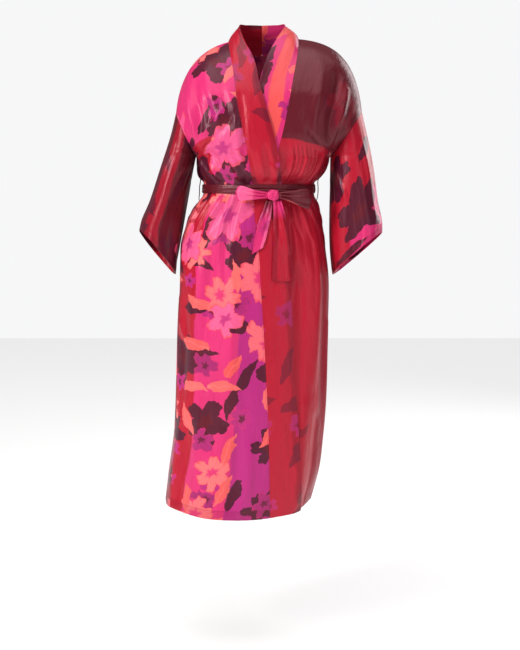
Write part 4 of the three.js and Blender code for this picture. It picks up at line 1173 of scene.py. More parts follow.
# %% Folds and creases of the sleeves
# Each fold: angle, width and height, and how far down the sleeve it starts
SLEEVE_FOLDS = {
    "right": [[75, 16, 7, 0.25], [118, 14, -6, 0.4], [152, 14, 5, 0.5], [235, 18, 6, 0.3]],
    "left": [[62, 16, 6, 0.3], [100, 14, -6, 0.4], [140, 15, 5, 0.5], [240, 18, 6, 0.3]],
}
# Each crease: start angle and ring, middle, end, width mm, depth mm
SLEEVE_CREASES = {
    "right": [
        [150, 0.3, 120, 1.2, 96, 2.4, 6, 2.2],
        [165, 0.4, 140, 1.6, 128, 3.0, 6, -2.0],
        [140, 0.2, 100, 0.7, 60, 1.3, 7, 2.0],
        [60, 1.0, 50, 2.4, 54, 4.2, 9, 2.2],
        [28, 0.8, 22, 2.2, 26, 4.0, 9, -1.8],
        [96, 2.6, 92, 3.6, 98, 4.8, 7, 2.0],
        [205, 0.4, 230, 1.6, 236, 3.2, 7, 2.2],
        [220, 0.2, 262, 0.8, 300, 1.4, 8, -1.8],
        [270, 1.2, 280, 2.6, 276, 4.4, 10, 2.4],
        [318, 1.0, 322, 2.6, 318, 4.6, 10, -2.0],
        [190, 1.4, 196, 2.8, 190, 4.2, 7, 1.8],
    ],
    "left": [
        [152, 0.3, 128, 1.3, 104, 2.6, 6, 2.2],
        [168, 0.3, 150, 1.5, 142, 3.2, 6, -2.2],
        [136, 0.2, 96, 0.7, 62, 1.1, 7, -1.8],
        [52, 0.9, 46, 2.3, 48, 4.4, 9, 2.4],
        [24, 0.9, 20, 2.4, 24, 4.2, 9, -1.8],
        [84, 2.2, 80, 3.4, 84, 4.8, 7, -2.0],
        [206, 0.4, 226, 1.4, 232, 3.0, 7, 2.0],
        [224, 0.2, 266, 0.8, 302, 1.3, 8, -1.8],
        [272, 1.2, 282, 2.8, 274, 4.6, 10, 2.2],
        [314, 1.1, 320, 2.4, 316, 4.4, 10, 2.0],
        [188, 1.2, 194, 2.6, 188, 4.4, 7, -1.8],
    ],
}
CUFF_HEM = 25
SLEEVE_STRENGTH = 2.2
SLEEVE_AROUND = 132
SLEEVE_ROWS = 74
SLEEVE_CUT = (0.49, 0.305)
LAST_RING = 5
RING_MM = 60
DEGREE_MM = 1.36
print("Sleeve creases:", sum(len(creases) for creases in SLEEVE_CREASES.values()))


# %% Sleeves
def sleeve_points(name, places, angles, lift=0.0):
    """Points on a creased sleeve at places along it, from ring to ring, and angles round it."""
    sleeve = SLEEVES[name]
    side = sleeve["side"]
    ring = station_at(sleeve, np.maximum(0, places))
    points = ring_point(ring, angles)
    middle = np.stack([(ring["outerX"] + ring["innerX"]) / 2, ring["y"],
                       (ring["outerZ"] + ring["innerZ"]) / 2], axis=-1)
    outwards = points - middle
    outwards /= np.linalg.norm(outwards, axis=-1, keepdims=True)
    degrees = np.degrees(angles)
    depth = np.zeros(places.shape) + lift
    for centre, width, height, start in SLEEVE_FOLDS[name]:
        turn = (degrees - centre + 180) % 360 - 180
        strong = smooth((places / LAST_RING - start * 0.5) / 0.5)
        depth += height * strong * np.exp(-(turn / width) ** 2)
    creased = sum(crease_depth(crease, degrees, places, DEGREE_MM, RING_MM, period=360)
                  for crease in SLEEVE_CREASES[name])
    depth += SLEEVE_STRENGTH * creased * smooth(places / 1.1)
    puckers = np.sin(degrees * 0.31 + 0.8) + 0.6 * np.sin(degrees * 0.53)
    from_cuff = (LAST_RING - places) * RING_MM
    depth += 0.35 * puckers * np.exp(-((from_cuff - CUFF_HEM) / 16) ** 2)
    points = points + outwards * depth[..., None]
    low = ((1 - np.cos(angles)) / 2) ** 1.5
    points[..., 0] += side * 2.7 * low * np.maximum(0, 1 - places)
    return points


def sleeve(name):
    side = SLEEVES[name]["side"]
    places = np.linspace(LAST_RING, 0.006, SLEEVE_ROWS)[:, None] * np.ones((1, SLEEVE_AROUND))
    turn = -side * np.arange(SLEEVE_AROUND) * 2 * math.pi / SLEEVE_AROUND
    angles = np.ones((SLEEVE_ROWS, 1)) * turn[None, :]
    points = sleeve_points(name, places, angles)
    turned = smooth((places - (LAST_RING - CUFF_HEM / RING_MM)) * RING_MM / 3 + 0.5)
    thickness = SATIN_THICKNESS * (1 + 0.9 * turned)
    round_cut, long_cut = SLEEVE_CUT
    u = np.ones((SLEEVE_ROWS, 1)) * np.linspace(0, round_cut, SLEEVE_AROUND, endpoint=False)[None, :]
    v = (LAST_RING - places) / LAST_RING * long_cut
    return sheet_mesh("robe_sleeve_" + name, points, thickness, (u, v), tube=True)


sleeve_right = sleeve("right")
sleeve_left = sleeve("left")
print("Sleeve area m2:", round(sheet_area(sleeve_right), 3), round(sheet_area(sleeve_left), 3))


# %% [markdown]
# The belt, its loops and its bow.
#
# The belt is a flat strip of the same satin, about 61 mm wide. Round the waist it is crushed to
# a third of that, so it shows wandering ridges and rolled edges. Two thread loops at the side
# seams carry it. The bow is the same strip again: a loop to each side, a wrap over the middle,
# and two hanging tails. Each is a thin sheet of its own here, with folds that run out from
# the knot, because a pulled bow always creases towards the place that is pulled.

# %% Belt round the waist
BELT_STEPS = 420
BELT_STAND_OFF = 3.0
BELT_THICKNESS = 0.7
BELT_WIDE = 0.061
# Each ridge: place across, drift, turns round the waist, start, width, height
BELT_RIDGES = [
    [0.24, 0.07, 1.3, 0.4, 0.10, 1.0],
    [0.55, 0.10, 2.1, 2.2, 0.09, 1.1],
    [0.80, 0.06, 1.7, 4.1, 0.07, 0.8],
    [0.40, 0.08, 2.9, 1.2, 0.06, -0.8],
]
belt_around = -1 + 4 * np.arange(BELT_STEPS) / BELT_STEPS
belt_share = np.concatenate([[-0.05, 0.0, 0.02], np.linspace(0.06, 0.94, 22), [0.98, 1.0, 1.05]])
belt_rows = []
for share in belt_share:
    inside = min(max(share, 0), 1)
    edge_wave = 0.5 * np.sin(belt_around * 7 + 0.6) + 0.4 * np.sin(belt_around * 13 + 2)
    level = BELT_BOTTOM + (BELT_TOP - BELT_BOTTOM) * inside
    swell = 1.1 * math.sin(math.pi * inside) ** 0.6
    out = BELT_STAND_OFF + swell - 16 * (abs(share - inside))
    ridge = np.zeros(BELT_STEPS)
    for centre, drift, turns, start, width, height in BELT_RIDGES:
        line = centre + drift * np.sin(turns * belt_around * math.pi / 2 + start)
        ridge += height * np.exp(-((inside - line) / width) ** 2)
    levels = np.full(BELT_STEPS, level)
    ahead = lookup(front_plain, FRONT_PLACES, np.minimum(belt_around, 1), levels)
    ahead_out = lookup(front_normals, FRONT_PLACES, np.minimum(belt_around, 1), levels)
    behind = lookup(back_plain, BACK_PLACES, np.maximum(belt_around, 1), levels)
    behind_out = lookup(back_normals, BACK_PLACES, np.maximum(belt_around, 1), levels)
    front_side = (belt_around < 1)[:, None]
    base = np.where(front_side, ahead, behind)
    outwards = np.where(front_side, ahead_out, behind_out) * [1, 1, 0]
    outwards /= np.linalg.norm(outwards, axis=1, keepdims=True)
    row = base + outwards * (out + ridge * math.sin(math.pi * inside) ** 0.5)[:, None]
    row[:, 2] = level + edge_wave * (0.5 + abs(inside - 0.5))
    belt_rows.append(row)
belt_points = np.array(belt_rows)
belt_u = np.tile(((belt_share + 0.05) * 0.0215)[:, None], (1, BELT_STEPS))
belt_v = np.tile((belt_around + 1)[None, :] * 0.2, (len(belt_share), 1))
belt = sheet_mesh("robe_belt_waist", belt_points, BELT_THICKNESS, (belt_v, belt_u), tube=True)
print("Belt area m2:", round(sheet_area(belt), 4))

# %% Loops of the bow
BOWS = {
    "right": {"knotX": 12.6, "tipX": -63, "knotY": -123.4, "tipY": -135, "bulge": 10, "knotTop": -369,
              "knotBottom": -385, "tipTop": -355, "tipBottom": -391},
    "left": {"knotX": 41.2, "tipX": 120, "knotY": -123.4, "tipY": -106, "bulge": 12, "knotTop": -369,
             "knotBottom": -386, "tipTop": -362, "tipBottom": -410},
}
BOW_FOLD_STRENGTH = 1.9
BOW_TIP_ROUND = 7
BOW_TURNS = 72
BOW_CUT_LENGTH = 0.17
# Folds across the width of each loop: where at the knot, where at the tip, width, depth
BOW_FOLDS = {
    "right": [[0.16, 0.10, 0.09, 1.1], [0.34, 0.38, 0.07, -1.2], [0.50, 0.58, 0.08, 1.3],
              [0.66, 0.82, 0.07, -1.0], [0.84, 0.94, 0.08, 0.9]],
    "left": [[0.14, 0.06, 0.08, 1.0], [0.30, 0.24, 0.07, -1.1], [0.48, 0.50, 0.09, 1.3],
             [0.64, 0.74, 0.07, -1.2], [0.82, 0.92, 0.08, 1.0]],
}


def bow_loop(name):
    bow = BOWS[name]
    shares = np.linspace(0, 1, 34)[:, None]
    open_angle = math.radians(42)
    angle = np.linspace(open_angle, 2 * math.pi - open_angle, BOW_TURNS + 1)[None, :]
    reach_x = (bow["tipX"] - bow["knotX"]) / (1 + math.cos(open_angle))
    x = bow["tipX"] - reach_x * (1 + np.cos(angle))
    outwards = (x - bow["knotX"]) / (bow["tipX"] - bow["knotX"])
    belly = np.sin(math.pi * shares) * 3 * outwards
    spread = bow["bulge"] * np.sin(angle) * np.sin(angle / 2)
    y = mix(bow["knotY"], bow["tipY"], outwards) - spread - belly * np.sign(np.sin(angle))
    bottom = mix(bow["knotBottom"], bow["tipBottom"], smooth(outwards))
    top = mix(bow["knotTop"], bow["tipTop"], smooth(outwards))
    z = mix(bottom, top, shares)
    wave = 0.9 * np.sin(outwards * 9 + 1) * np.abs(shares - 0.5) * 2 * outwards
    turn = 1 if bow["tipX"] > bow["knotX"] else -1
    rounded = x - turn * BOW_TIP_ROUND * np.abs(2 * shares - 1) ** 3 * smooth(outwards * 2 - 1)
    points = np.stack(np.broadcast_arrays(rounded, y, z + wave), axis=-1).copy()
    if turn < 0:
        points = points[:, ::-1]
        outwards = outwards[:, ::-1]
    depth = np.zeros(points.shape[:2])
    for at_knot, at_tip, width, height in BOW_FOLDS[name]:
        line = mix(at_knot, at_tip, outwards)
        strong = BOW_FOLD_STRENGTH * height * (1.15 - 0.75 * outwards)
        depth += strong * np.exp(-((shares - line) / width) ** 2)
    hide = smooth(outwards / 0.12)
    points = points + lattice_normals(points) * (depth * hide)[..., None]
    run = np.linspace(0, BOW_CUT_LENGTH, BOW_TURNS + 1)[None, :] * np.ones(shares.shape)
    across = shares * np.ones(run.shape) * BELT_WIDE
    return sheet_mesh("robe_bow_loop_" + name, points, BELT_THICKNESS, (run, across))


bow_right = bow_loop("right")
bow_left = bow_loop("left")
print("Bow loop area m2:", round(sheet_area(bow_right), 4), round(sheet_area(bow_left), 4))

# %% Knot: the wrap over the middle of the bow
KNOT_CENTRE = (27, -123.2, -377)
KNOT_HALF = (15.2, 8.6, 13.4)
KNOT_SQUARENESS = 0.82
# Creases of the wrap: direction, place along it, width and depth, on a ball of radius 1
KNOT_CREASES = [
    [(0.96, 0.0, 0.28), -0.55, 0.14, -0.10],
    [(0.98, 0.0, 0.18), -0.18, 0.12, 0.09],
    [(0.95, 0.0, -0.30), 0.10, 0.12, -0.10],
    [(0.93, 0.0, -0.36), 0.42, 0.14, 0.08],
    [(0.30, 0.0, 0.95), 0.62, 0.12, -0.08],
    [(-0.25, 0.0, 0.97), -0.58, 0.12, -0.07],
    [(0.75, 0.0, 0.66), 0.16, 0.10, -0.06],
]
knot_mesh = bpy.data.meshes.new("robe_belt_knot")
ball = bmesh.new()
bmesh.ops.create_icosphere(ball, subdivisions=5, radius=1)
for corner in ball.verts:
    direction = corner.co.normalized()
    swell = 1.0
    for axis, place, width, height in KNOT_CREASES:
        along = direction.dot(Vector(axis).normalized())
        swell += height * math.exp(-((along - place) / width) ** 2) * (0.4 - 0.6 * min(direction.y, 0))
    squared = [math.copysign(abs(value) ** KNOT_SQUARENESS, value) for value in direction]
    corner.co = Vector((
        KNOT_CENTRE[0] + KNOT_HALF[0] * squared[0] * swell,
        KNOT_CENTRE[1] + KNOT_HALF[1] * direction.y * swell,
        KNOT_CENTRE[2] + KNOT_HALF[2] * squared[2] * swell,
    )) / 1000
ball.to_mesh(knot_mesh)
ball.free()
knot_mesh.shade_smooth()
knot_layer = knot_mesh.uv_layers.new(name="FlatCloth")
for loop in knot_mesh.loops:
    spot = knot_mesh.vertices[loop.vertex_index].co
    knot_layer.data[loop.index].uv = (spot.x, spot.z + 0.4)
knot = bpy.data.objects.new("robe_belt_knot", knot_mesh)
bpy.context.collection.objects.link(knot)
print("Knot faces:", len(knot_mesh.polygons))

# %% Tails
TAIL_COLUMNS = ["z", "rightX", "leftX", "standOff"]
TAILS = {
    "over": table(TAIL_COLUMNS, [
        [-586, 24, 82, 5],
        [-550, 25, 76, 5],
        [-500, 27, 69, 5.5],
        [-450, 28, 61, 6.5],
        [-415, 28, 54, 8],
        [-391, 27.6, 47, 9],
    ]),
    "under": table(TAIL_COLUMNS, [
        [-512, -25, 2, 4.6],
        [-475, -17, 11, 4.8],
        [-440, -8, 19, 5.4],
        [-415, 1, 23, 7],
        [-391, 10, 26.3, 9],
    ]),
}
TAIL_ROWS = 96
TAIL_ACROSS = 30
# Folds down each tail: share across at the top, at the end, width, depth, how far down
TAIL_FOLDS = {
    "over": [[0.22, 0.10, 0.08, 1.2, 0.75], [0.42, 0.34, 0.06, -1.1, 0.6], [0.60, 0.62, 0.07, 1.3, 0.85],
             [0.80, 0.88, 0.07, -1.0, 0.55]],
    "under": [[0.25, 0.15, 0.12, 1.1, 0.8], [0.55, 0.50, 0.10, -1.2, 0.7], [0.80, 0.85, 0.10, 1.1, 0.6]],
}


def tail(name, slant):
    rows = TAILS[name]
    bottom, top = rows["z"][0], rows["z"][-1]
    heights = np.linspace(0, 1, TAIL_ROWS)
    shares = np.linspace(0, 1, TAIL_ACROSS)
    points = np.empty((TAIL_ROWS, TAIL_ACROSS, 3))
    for index, height in enumerate(heights):
        z = mix(bottom, top, height)
        z_row = z + slant * (shares - 0.5) * smooth(1 - height / 0.25)
        x = mix(read(rows, "z", "rightX", z), read(rows, "z", "leftX", z), shares)
        loop_row = np.clip((z_row - LEVELS[0]) / (LEVELS[1] - LEVELS[0]), 0, len(LEVELS) - 2)
        low = loop_row.astype(int)
        place = np.array([np.interp(x[i], front_plain[low[i], :, 0], FRONT_PLACES)
                          for i in range(TAIL_ACROSS)])
        base = lookup(over_cloth, FRONT_PLACES, place, z_row)
        out = lookup(front_normals, FRONT_PLACES, place, z_row)
        crush = 1.6 * smooth((height - 0.35) / 0.5) * np.sin(shares * math.pi * 4)
        folded = np.zeros(TAIL_ACROSS)
        for at_top, at_end, width, depth, length in TAIL_FOLDS[name]:
            line = mix(at_end, at_top, height)
            strong = smooth((height - (1 - length)) / 0.4)
            folded += depth * strong * np.exp(-((shares - line) / width) ** 2)
        lift = read(rows, "z", "standOff", z) + crush + folded * 0.7
        points[index] = base + out * lift[:, None]
        points[index, :, 0] = x
        points[index, :, 2] = z_row
    length = (top - bottom) / 1000
    u = np.tile((shares * BELT_WIDE)[None, :], (TAIL_ROWS, 1))
    v = np.tile((heights * length)[:, None], (1, TAIL_ACROSS))
    return sheet_mesh("robe_belt_tail_" + name, points, BELT_THICKNESS, (u, v)), points


tail_over, tail_over_points = tail("over", 0)
tail_under, tail_under_points = tail("under", 16)
print("Tail area m2:", round(sheet_area(tail_over), 4), round(sheet_area(tail_under), 4))

# %% Belt loops at the side seams
LOOP_BOTTOM = -396
LOOP_TOP = -332
LOOP_WIDTH = 6
LOOP_ROWS = 40
LOOP_COLUMNS = 7
LOOP_LINE = table(["level", "out"], [[LOOP_BOTTOM, 2.6], [-391, 5.5], [-383, 9], [-370, 11.5],
                                     [-356, 11.5], [-343, 8], [LOOP_TOP, 3]])


def belt_loop(name, side):
    levels = np.linspace(LOOP_BOTTOM, LOOP_TOP, LOOP_ROWS)
    seam = 3 if side < 0 else 1
    lengths = np.interp(levels, LEVELS, length_back_right if side < 0 else length_back_left)
    columns = np.linspace(0.5, 1.5, LOOP_COLUMNS)
    if side < 0:
        columns = columns[::-1]
    places = seam + side * LOOP_WIDTH * columns[None, :] / lengths[:, None]
    grid_levels = np.tile(levels[:, None], (1, LOOP_COLUMNS))
    base = lookup(back_cloth, BACK_PLACES, places, grid_levels)
    out = lookup(back_normals, BACK_PLACES, places, grid_levels) * [1, 1, 0]
    out /= np.linalg.norm(out, axis=2, keepdims=True)
    crown = 0.5 * np.sin(np.linspace(0, math.pi, LOOP_COLUMNS))[None, :]
    lift = read(LOOP_LINE, "level", "out", levels)[:, None] + crown
    points = base + out * lift[..., None]
    u = np.tile((np.arange(LOOP_COLUMNS) * 0.001)[None, :], (LOOP_ROWS, 1))
    v = np.tile(np.linspace(0, 0.07, LOOP_ROWS)[:, None], (1, LOOP_COLUMNS))
    return sheet_mesh("robe_belt_loop_" + name, points, 1.5, (u, v))


loop_right = belt_loop("right", -1)
loop_left = belt_loop("left", 1)
print("Belt loops, faces:", len(loop_right.data.polygons) + len(loop_left.data.polygons))


# %% [markdown]
# A finish for every piece.
#
# The pieces share one kind of satin, but each was cut from another part of the print, so each
# gets its own colour blocks and its own place on the pattern. The blocks run across the cloth
# and the flowers lie over them in three sizes. Every sheet is then put on the frame in place
# of its solid, and its area is printed.

# %% Flowers that the panels share
BIG_PINK = ("flower", (0.17, 0.062, 5, 0.55, (0.03, 0.02, 0), MAGENTA, LIGHT_PINK, CORAL))
BIG_CORAL = ("flower", (0.14, 0.052, 6, 0.55, (0.31, 0.47, 0), HOT_PINK, LIGHT_CORAL, CORAL))
PLUM_BLOOM = ("flower", (0.15, 0.058, 5, 0.5, (0.77, 0.13, 0), BROWN_RED, PLUM, PLUM))
SMALL_MAGENTA = ("flower", (0.085, 0.03, 5, 0.5, (0.21, 0.69, 0), PLUM, MAGENTA, HOT_PINK))
PLUM_LEAF = ("leaf", (0.11, 0.052, 0.015, 0.6, (0.57, 0.31, 0), PLUM, BROWN_RED))
CORAL_LEAF = ("leaf", (0.10, 0.046, 0.013, 0.5, (0.11, 0.83, 0), CORAL, LIGHT_CORAL))

satin_right_front = printed_satin(
    "satin_right_front",
    [(0.0, DEEP_CRIMSON), (0.05, CRIMSON), (0.115, HOT_PINK), (0.225, MAGENTA)],
    [PLUM_BLOOM, PLUM_LEAF, SMALL_MAGENTA, BIG_CORAL, CORAL_LEAF, BIG_PINK],
    (0.0, 0.0), upward=(0.97, 0.006, HOT_PINK), turned_up=0.022,
)
satin_left_front = printed_satin(
    "satin_left_front",
    [(0.0, CRIMSON), (0.21, DEEP_CRIMSON)],
    [("flower", (0.24, 0.055, 5, 0.35, (0.4, 0.3, 0), BROWN_RED, DEEP_CRIMSON, PLUM)),
     ("leaf", (0.2, 0.05, 0.016, 0.3, (0.7, 0.1, 0), BROWN_RED, PLUM))],
    (0.4, 0.2), lively=0.55, upward=(0.94, 0.006, BROWN_RED), turned_up=0.022,
)
satin_back_panel = printed_satin(
    "satin_back_panel",
    [(0.0, CRIMSON), (0.14, DEEP_CRIMSON), (0.21, HOT_PINK), (0.42, MAGENTA), (0.46, CRIMSON),
     (0.6, DEEP_CRIMSON)],
    [PLUM_BLOOM, PLUM_LEAF, SMALL_MAGENTA, BIG_CORAL, CORAL_LEAF, BIG_PINK],
    (0.9, 0.5), turned_up=0.022,
)
satin_right_band = printed_satin(
    "satin_right_band",
    [(0.0, CRIMSON), (0.062, DEEP_CRIMSON)],
    [PLUM_LEAF, SMALL_MAGENTA], (0.6, 0.3), lively=0.6,
)
satin_left_band = printed_satin(
    "satin_left_band",
    [(0.0, HOT_PINK), (0.03, CORAL), (0.06, HOT_PINK)],
    [SMALL_MAGENTA, PLUM_LEAF, CORAL_LEAF], (1.3, 0.1),
)
satin_right_sleeve = printed_satin(
    "satin_right_sleeve",
    [(0.0, BROWN_RED), (0.07, DEEP_CRIMSON), (0.13, BROWN_RED), (0.3, CRIMSON), (0.4, BROWN_RED)],
    [PLUM_LEAF, BIG_PINK, PLUM_BLOOM], (1.7, 0.6), lively=0.8, turned_up=0.025,
)
satin_left_sleeve = printed_satin(
    "satin_left_sleeve",
    [(0.0, HOT_PINK), (0.2, CRIMSON), (0.34, HOT_PINK)],
    [PLUM_BLOOM, PLUM_LEAF], (2.1, 0.9), upward=(0.15, 0.004, CRIMSON), turned_up=0.025,
)
satin_belt_dark = printed_satin(
    "satin_belt_dark",
    [(0.0, BROWN_RED), (0.4, DEEP_CRIMSON), (0.6, BROWN_RED)], [PLUM_LEAF], (2.6, 0.2), lively=0.5,
)
satin_bow_pink = printed_satin(
    "satin_bow_pink",
    [(0.0, HOT_PINK), (0.1, LIGHT_PINK), (0.14, HOT_PINK)], [SMALL_MAGENTA], (3.1, 0.4), lively=0.5,
)
satin_bow_dark = printed_satin(
    "satin_bow_dark",
    [(0.0, BROWN_RED), (0.12, DEEP_CRIMSON)], [CORAL_LEAF], (3.4, 0.7), lively=0.4,
)
# The darker strips along both long edges of the over tail are painted shade at its edges.
satin_tail_red = printed_satin(
    "satin_tail_red",
    [(0.0, DEEP_CRIMSON), (0.016, CRIMSON), (0.05, DEEP_CRIMSON)], [PLUM_LEAF], (3.7, 0.3), lively=0.3,
    upward=(0.15, 0.03, HOT_PINK),
)
satin_tail_pink = printed_satin(
    "satin_tail_pink",
    [(0.0, HOT_PINK), (0.045, LIGHT_PINK)], [SMALL_MAGENTA], (4.1, 0.2), lively=0.6,
    upward=(0.07, 0.05, BROWN_RED),
)

# %% The pieces take their places
settle(front_right, "front_right", satin_right_front)
settle(front_left, "front_left", satin_left_front)
settle(back, "back", satin_back_panel)
settle(band_right, "neckband_right", satin_right_band)
settle(band_left, "neckband_left", satin_left_band)
settle(sleeve_right, "sleeve_right", satin_right_sleeve)
settle(sleeve_left, "sleeve_left", satin_left_sleeve)
settle(belt, "belt_waist", satin_belt_dark)
settle(bow_right, "belt_bow_right", satin_bow_pink)
settle(bow_left, "belt_bow_left", satin_bow_dark)
settle(knot, "belt_knot", satin_bow_pink)
settle(tail_over, "belt_tail_over", satin_tail_red)
settle(tail_under, "belt_tail_under", satin_tail_pink)
settle(loop_right, "belt_loop_right", satin_belt_dark)
settle(loop_left, "belt_loop_left", satin_belt_dark)


# %% [markdown]
# The stitches.
#
# A hem, a cuff and the edge of a belt are held by rows of small even stitches. Placing them by
# hand would take all day, so a Geometry Nodes tree does it. It walks along a line, sets down
# one small thread grain at every step and turns it along the line. The step, the length and
# the thickness of the thread are inputs of the tree, so one tree sews every row.

# %% A tree that sews a row of stitches
def stitch_tree(thread):
    tree = bpy.data.node_groups.new("sew_a_row", "GeometryNodeTree")
    interface = tree.interface
    interface.new_socket("Line", in_out="INPUT", socket_type="NodeSocketGeometry")
    sockets = {}
    for name, value in (("Step", 0.003), ("Stitch length", 0.0022), ("Thread radius", 0.00028)):
        item = interface.new_socket(name, in_out="INPUT", socket_type="NodeSocketFloat")
        item.default_value = value
        sockets[name] = item.identifier
    interface.new_socket("Stitches", in_out="OUTPUT", socket_type="NodeSocketGeometry")
    nodes, links = tree.nodes, tree.links
    given = nodes.new("NodeGroupInput")
    result = nodes.new("NodeGroupOutput")
    line = nodes.new("GeometryNodeMeshToCurve")
    steps = nodes.new("GeometryNodeResampleCurve")
    steps.mode = "LENGTH"
    tangent = nodes.new("GeometryNodeInputTangent")
    turn = nodes.new("FunctionNodeAlignRotationToVector")
    turn.axis = "X"
    grain = nodes.new("GeometryNodeMeshIcoSphere")
    grain.inputs["Subdivisions"].default_value = 1
    grain.inputs["Radius"].default_value = 1.0
    halve = nodes.new("ShaderNodeMath")
    halve.operation = "MULTIPLY"
    halve.inputs[1].default_value = 0.5
    shape = nodes.new("ShaderNodeCombineXYZ")
    place = nodes.new("GeometryNodeInstanceOnPoints")
    real = nodes.new("GeometryNodeRealizeInstances")
    finish = nodes.new("GeometryNodeSetMaterial")
    finish.inputs["Material"].default_value = thread
    links.new(given.outputs["Line"], line.inputs["Mesh"])
    links.new(line.outputs["Curve"], steps.inputs["Curve"])
    links.new(given.outputs["Step"], steps.inputs["Length"])
    links.new(steps.outputs["Curve"], place.inputs["Points"])
    links.new(grain.outputs["Mesh"], place.inputs["Instance"])
    links.new(tangent.outputs["Tangent"], turn.inputs["Vector"])
    links.new(turn.outputs["Rotation"], place.inputs["Rotation"])
    links.new(given.outputs["Stitch length"], halve.inputs[0])
    links.new(halve.outputs[0], shape.inputs["X"])
    links.new(given.outputs["Thread radius"], shape.inputs["Y"])
    links.new(given.outputs["Thread radius"], shape.inputs["Z"])
    links.new(shape.outputs[0], place.inputs["Scale"])
    links.new(place.outputs["Instances"], real.inputs["Geometry"])
    links.new(real.outputs["Geometry"], finish.inputs["Geometry"])
    links.new(finish.outputs["Geometry"], result.inputs["Stitches"])
    return tree, sockets


def thread_material():
    material = bpy.data.materials.new("sewing_thread")
    nodes = Nodes(material)
    spot = nodes.add("ShaderNodeTexCoord").outputs["Object"]
    twist = nodes.add("ShaderNodeTexNoise", {"Vector": spot, "Scale": 1800.0, "Detail": 2.0}).outputs[0]
    colour = nodes.ramp(twist, [(0.3, linear(120, 18, 40)), (0.7, linear(178, 40, 70))])
    bump = nodes.add("ShaderNodeBump", {"Height": twist, "Strength": 0.4, "Distance": 0.0002})
    surface = nodes.add("ShaderNodeBsdfPrincipled", {
        "Base Color": colour,
        "Roughness": nodes.math("MULTIPLY_ADD", twist, 0.2, 0.45),
        "Normal": bump.outputs[0],
        "Sheen Weight": 0.2,
    })
    out = nodes.add("ShaderNodeOutputMaterial")
    nodes.tree.links.new(surface.outputs[0], out.inputs[0])
    return material


def sew(name, lines, step, length, radius):
    """Runs the tree along lines of points in mm and returns the stitches as a plain mesh."""
    mesh = bpy.data.meshes.new(name + "_lines")
    points = np.concatenate(lines) / 1000
    edges = []
    start = 0
    for line in lines:
        edges += [(start + index, start + index + 1) for index in range(len(line) - 1)]
        start += len(line)
    mesh.from_pydata(points.tolist(), edges, [])
    guide = bpy.data.objects.new(name + "_guide", mesh)
    bpy.context.collection.objects.link(guide)
    modifier = guide.modifiers.new("Sew", "NODES")
    modifier.node_group = row_tree
    modifier[row_inputs["Step"]] = step
    modifier[row_inputs["Stitch length"]] = length
    modifier[row_inputs["Thread radius"]] = radius
    graph = bpy.context.evaluated_depsgraph_get()
    sewn = bpy.data.meshes.new_from_object(guide.evaluated_get(graph))
    guide.modifiers.remove(modifier)
    bpy.data.objects.remove(guide)
    sewn.name = name
    piece = bpy.data.objects.new(name, sewn)
    bpy.context.collection.objects.link(piece)
    print(name, "faces:", len(sewn.polygons))
    return piece


sewing_thread = thread_material()
row_tree, row_inputs = stitch_tree(sewing_thread)

# %% Lines that are sewn on the robe
HEM_LINE_LEVEL = HEM_LEVEL + HEM_DEPTH
CUFF_LINE_POINTS = 200
BAND_LINE_POINTS = 400
BAND_LINE_ASIDE = 0.012


def on_front(cloth, normals, places, levels, lift=0.5):
    places = np.asarray(places, float) * np.ones(np.shape(levels))
    on_cloth = lookup(cloth, FRONT_PLACES, places, levels)
    return on_cloth + lift * lookup(normals, FRONT_PLACES, places, levels)


def hem_line(cloth, normals, start, end, count):
    return on_front(cloth, normals, np.linspace(start, end, count), np.full(count, HEM_LINE_LEVEL))


hem_side = float(side_seam_place(HEM_LINE_LEVEL))
hem_over_seam = band_place("overSeam", HEM_LINE_LEVEL)
hem_over_edge = band_place("overEdge", HEM_LINE_LEVEL)
seam_lines = [
    hem_line(over_cloth, over_normals, hem_side + 0.01, hem_over_seam - 0.005, 160),
    hem_line(under_cloth, under_normals, hem_over_edge + 0.02, 0.99, 160),
    hem_line(over_cloth, over_normals, -1, hem_side - 0.01, 40),
]
places = np.linspace(1.01, 3, 300)
levels = np.full(300, float(HEM_LINE_LEVEL))
seam_lines.append(lookup(back_cloth, BACK_PLACES, places, levels)
                  + 0.5 * lookup(cloth_back_normals, BACK_PLACES, places, levels))
for name in ("right", "left"):
    ring = np.full(CUFF_LINE_POINTS, LAST_RING - CUFF_HEM / RING_MM)
    turn = np.linspace(0, 2 * math.pi, CUFF_LINE_POINTS)
    seam_lines.append(sleeve_points(name, ring, turn, lift=0.5))
levels = np.linspace(HEM_LEVEL + 4, COLLAR_LEVEL, BAND_LINE_POINTS)
band_seam = np.array([band_place("overSeam", level) for level in levels])
seam_lines.append(on_front(over_cloth, over_normals, band_seam - BAND_LINE_ASIDE, levels))
robe_stitches = sew("robe_stitches", seam_lines, 0.0033, 0.0024, 0.00026)

# %% Lines that are sewn on the belt, and the bar tacks of the pockets
def tail_edges(points):
    """Lines just inside the two edges and the end of a tail, a little above its face."""
    lifted = points + lattice_normals(points) * 0.5
    return [lifted[2:80, 2], lifted[2:80, -3], lifted[2, 2:-2]]


belt_lines = tail_edges(tail_over_points) + tail_edges(tail_under_points)
belt_stitches = sew("belt_stitches", belt_lines, 0.0026, 0.0019, 0.00022)
TACKS = [(-0.975, -389), (-0.95, -471), (0.975, -389), (0.95, -471)]
TACK_POINTS = 12
tack_lines = []
for place, level in TACKS:
    spread = np.linspace(-0.016, 0.016, TACK_POINTS)
    cloth = over_cloth if place < 0 else under_cloth
    normals = over_normals if place < 0 else under_normals
    levels = np.full(TACK_POINTS, float(level))
    tack_lines.append(on_front(cloth, normals, place + spread, levels, lift=0.6))
bar_tacks = sew("pocket_bar_tacks", tack_lines, 0.0009, 0.0016, 0.00045)
for piece in (robe_stitches, belt_stitches, bar_tacks):
    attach(piece, "root")


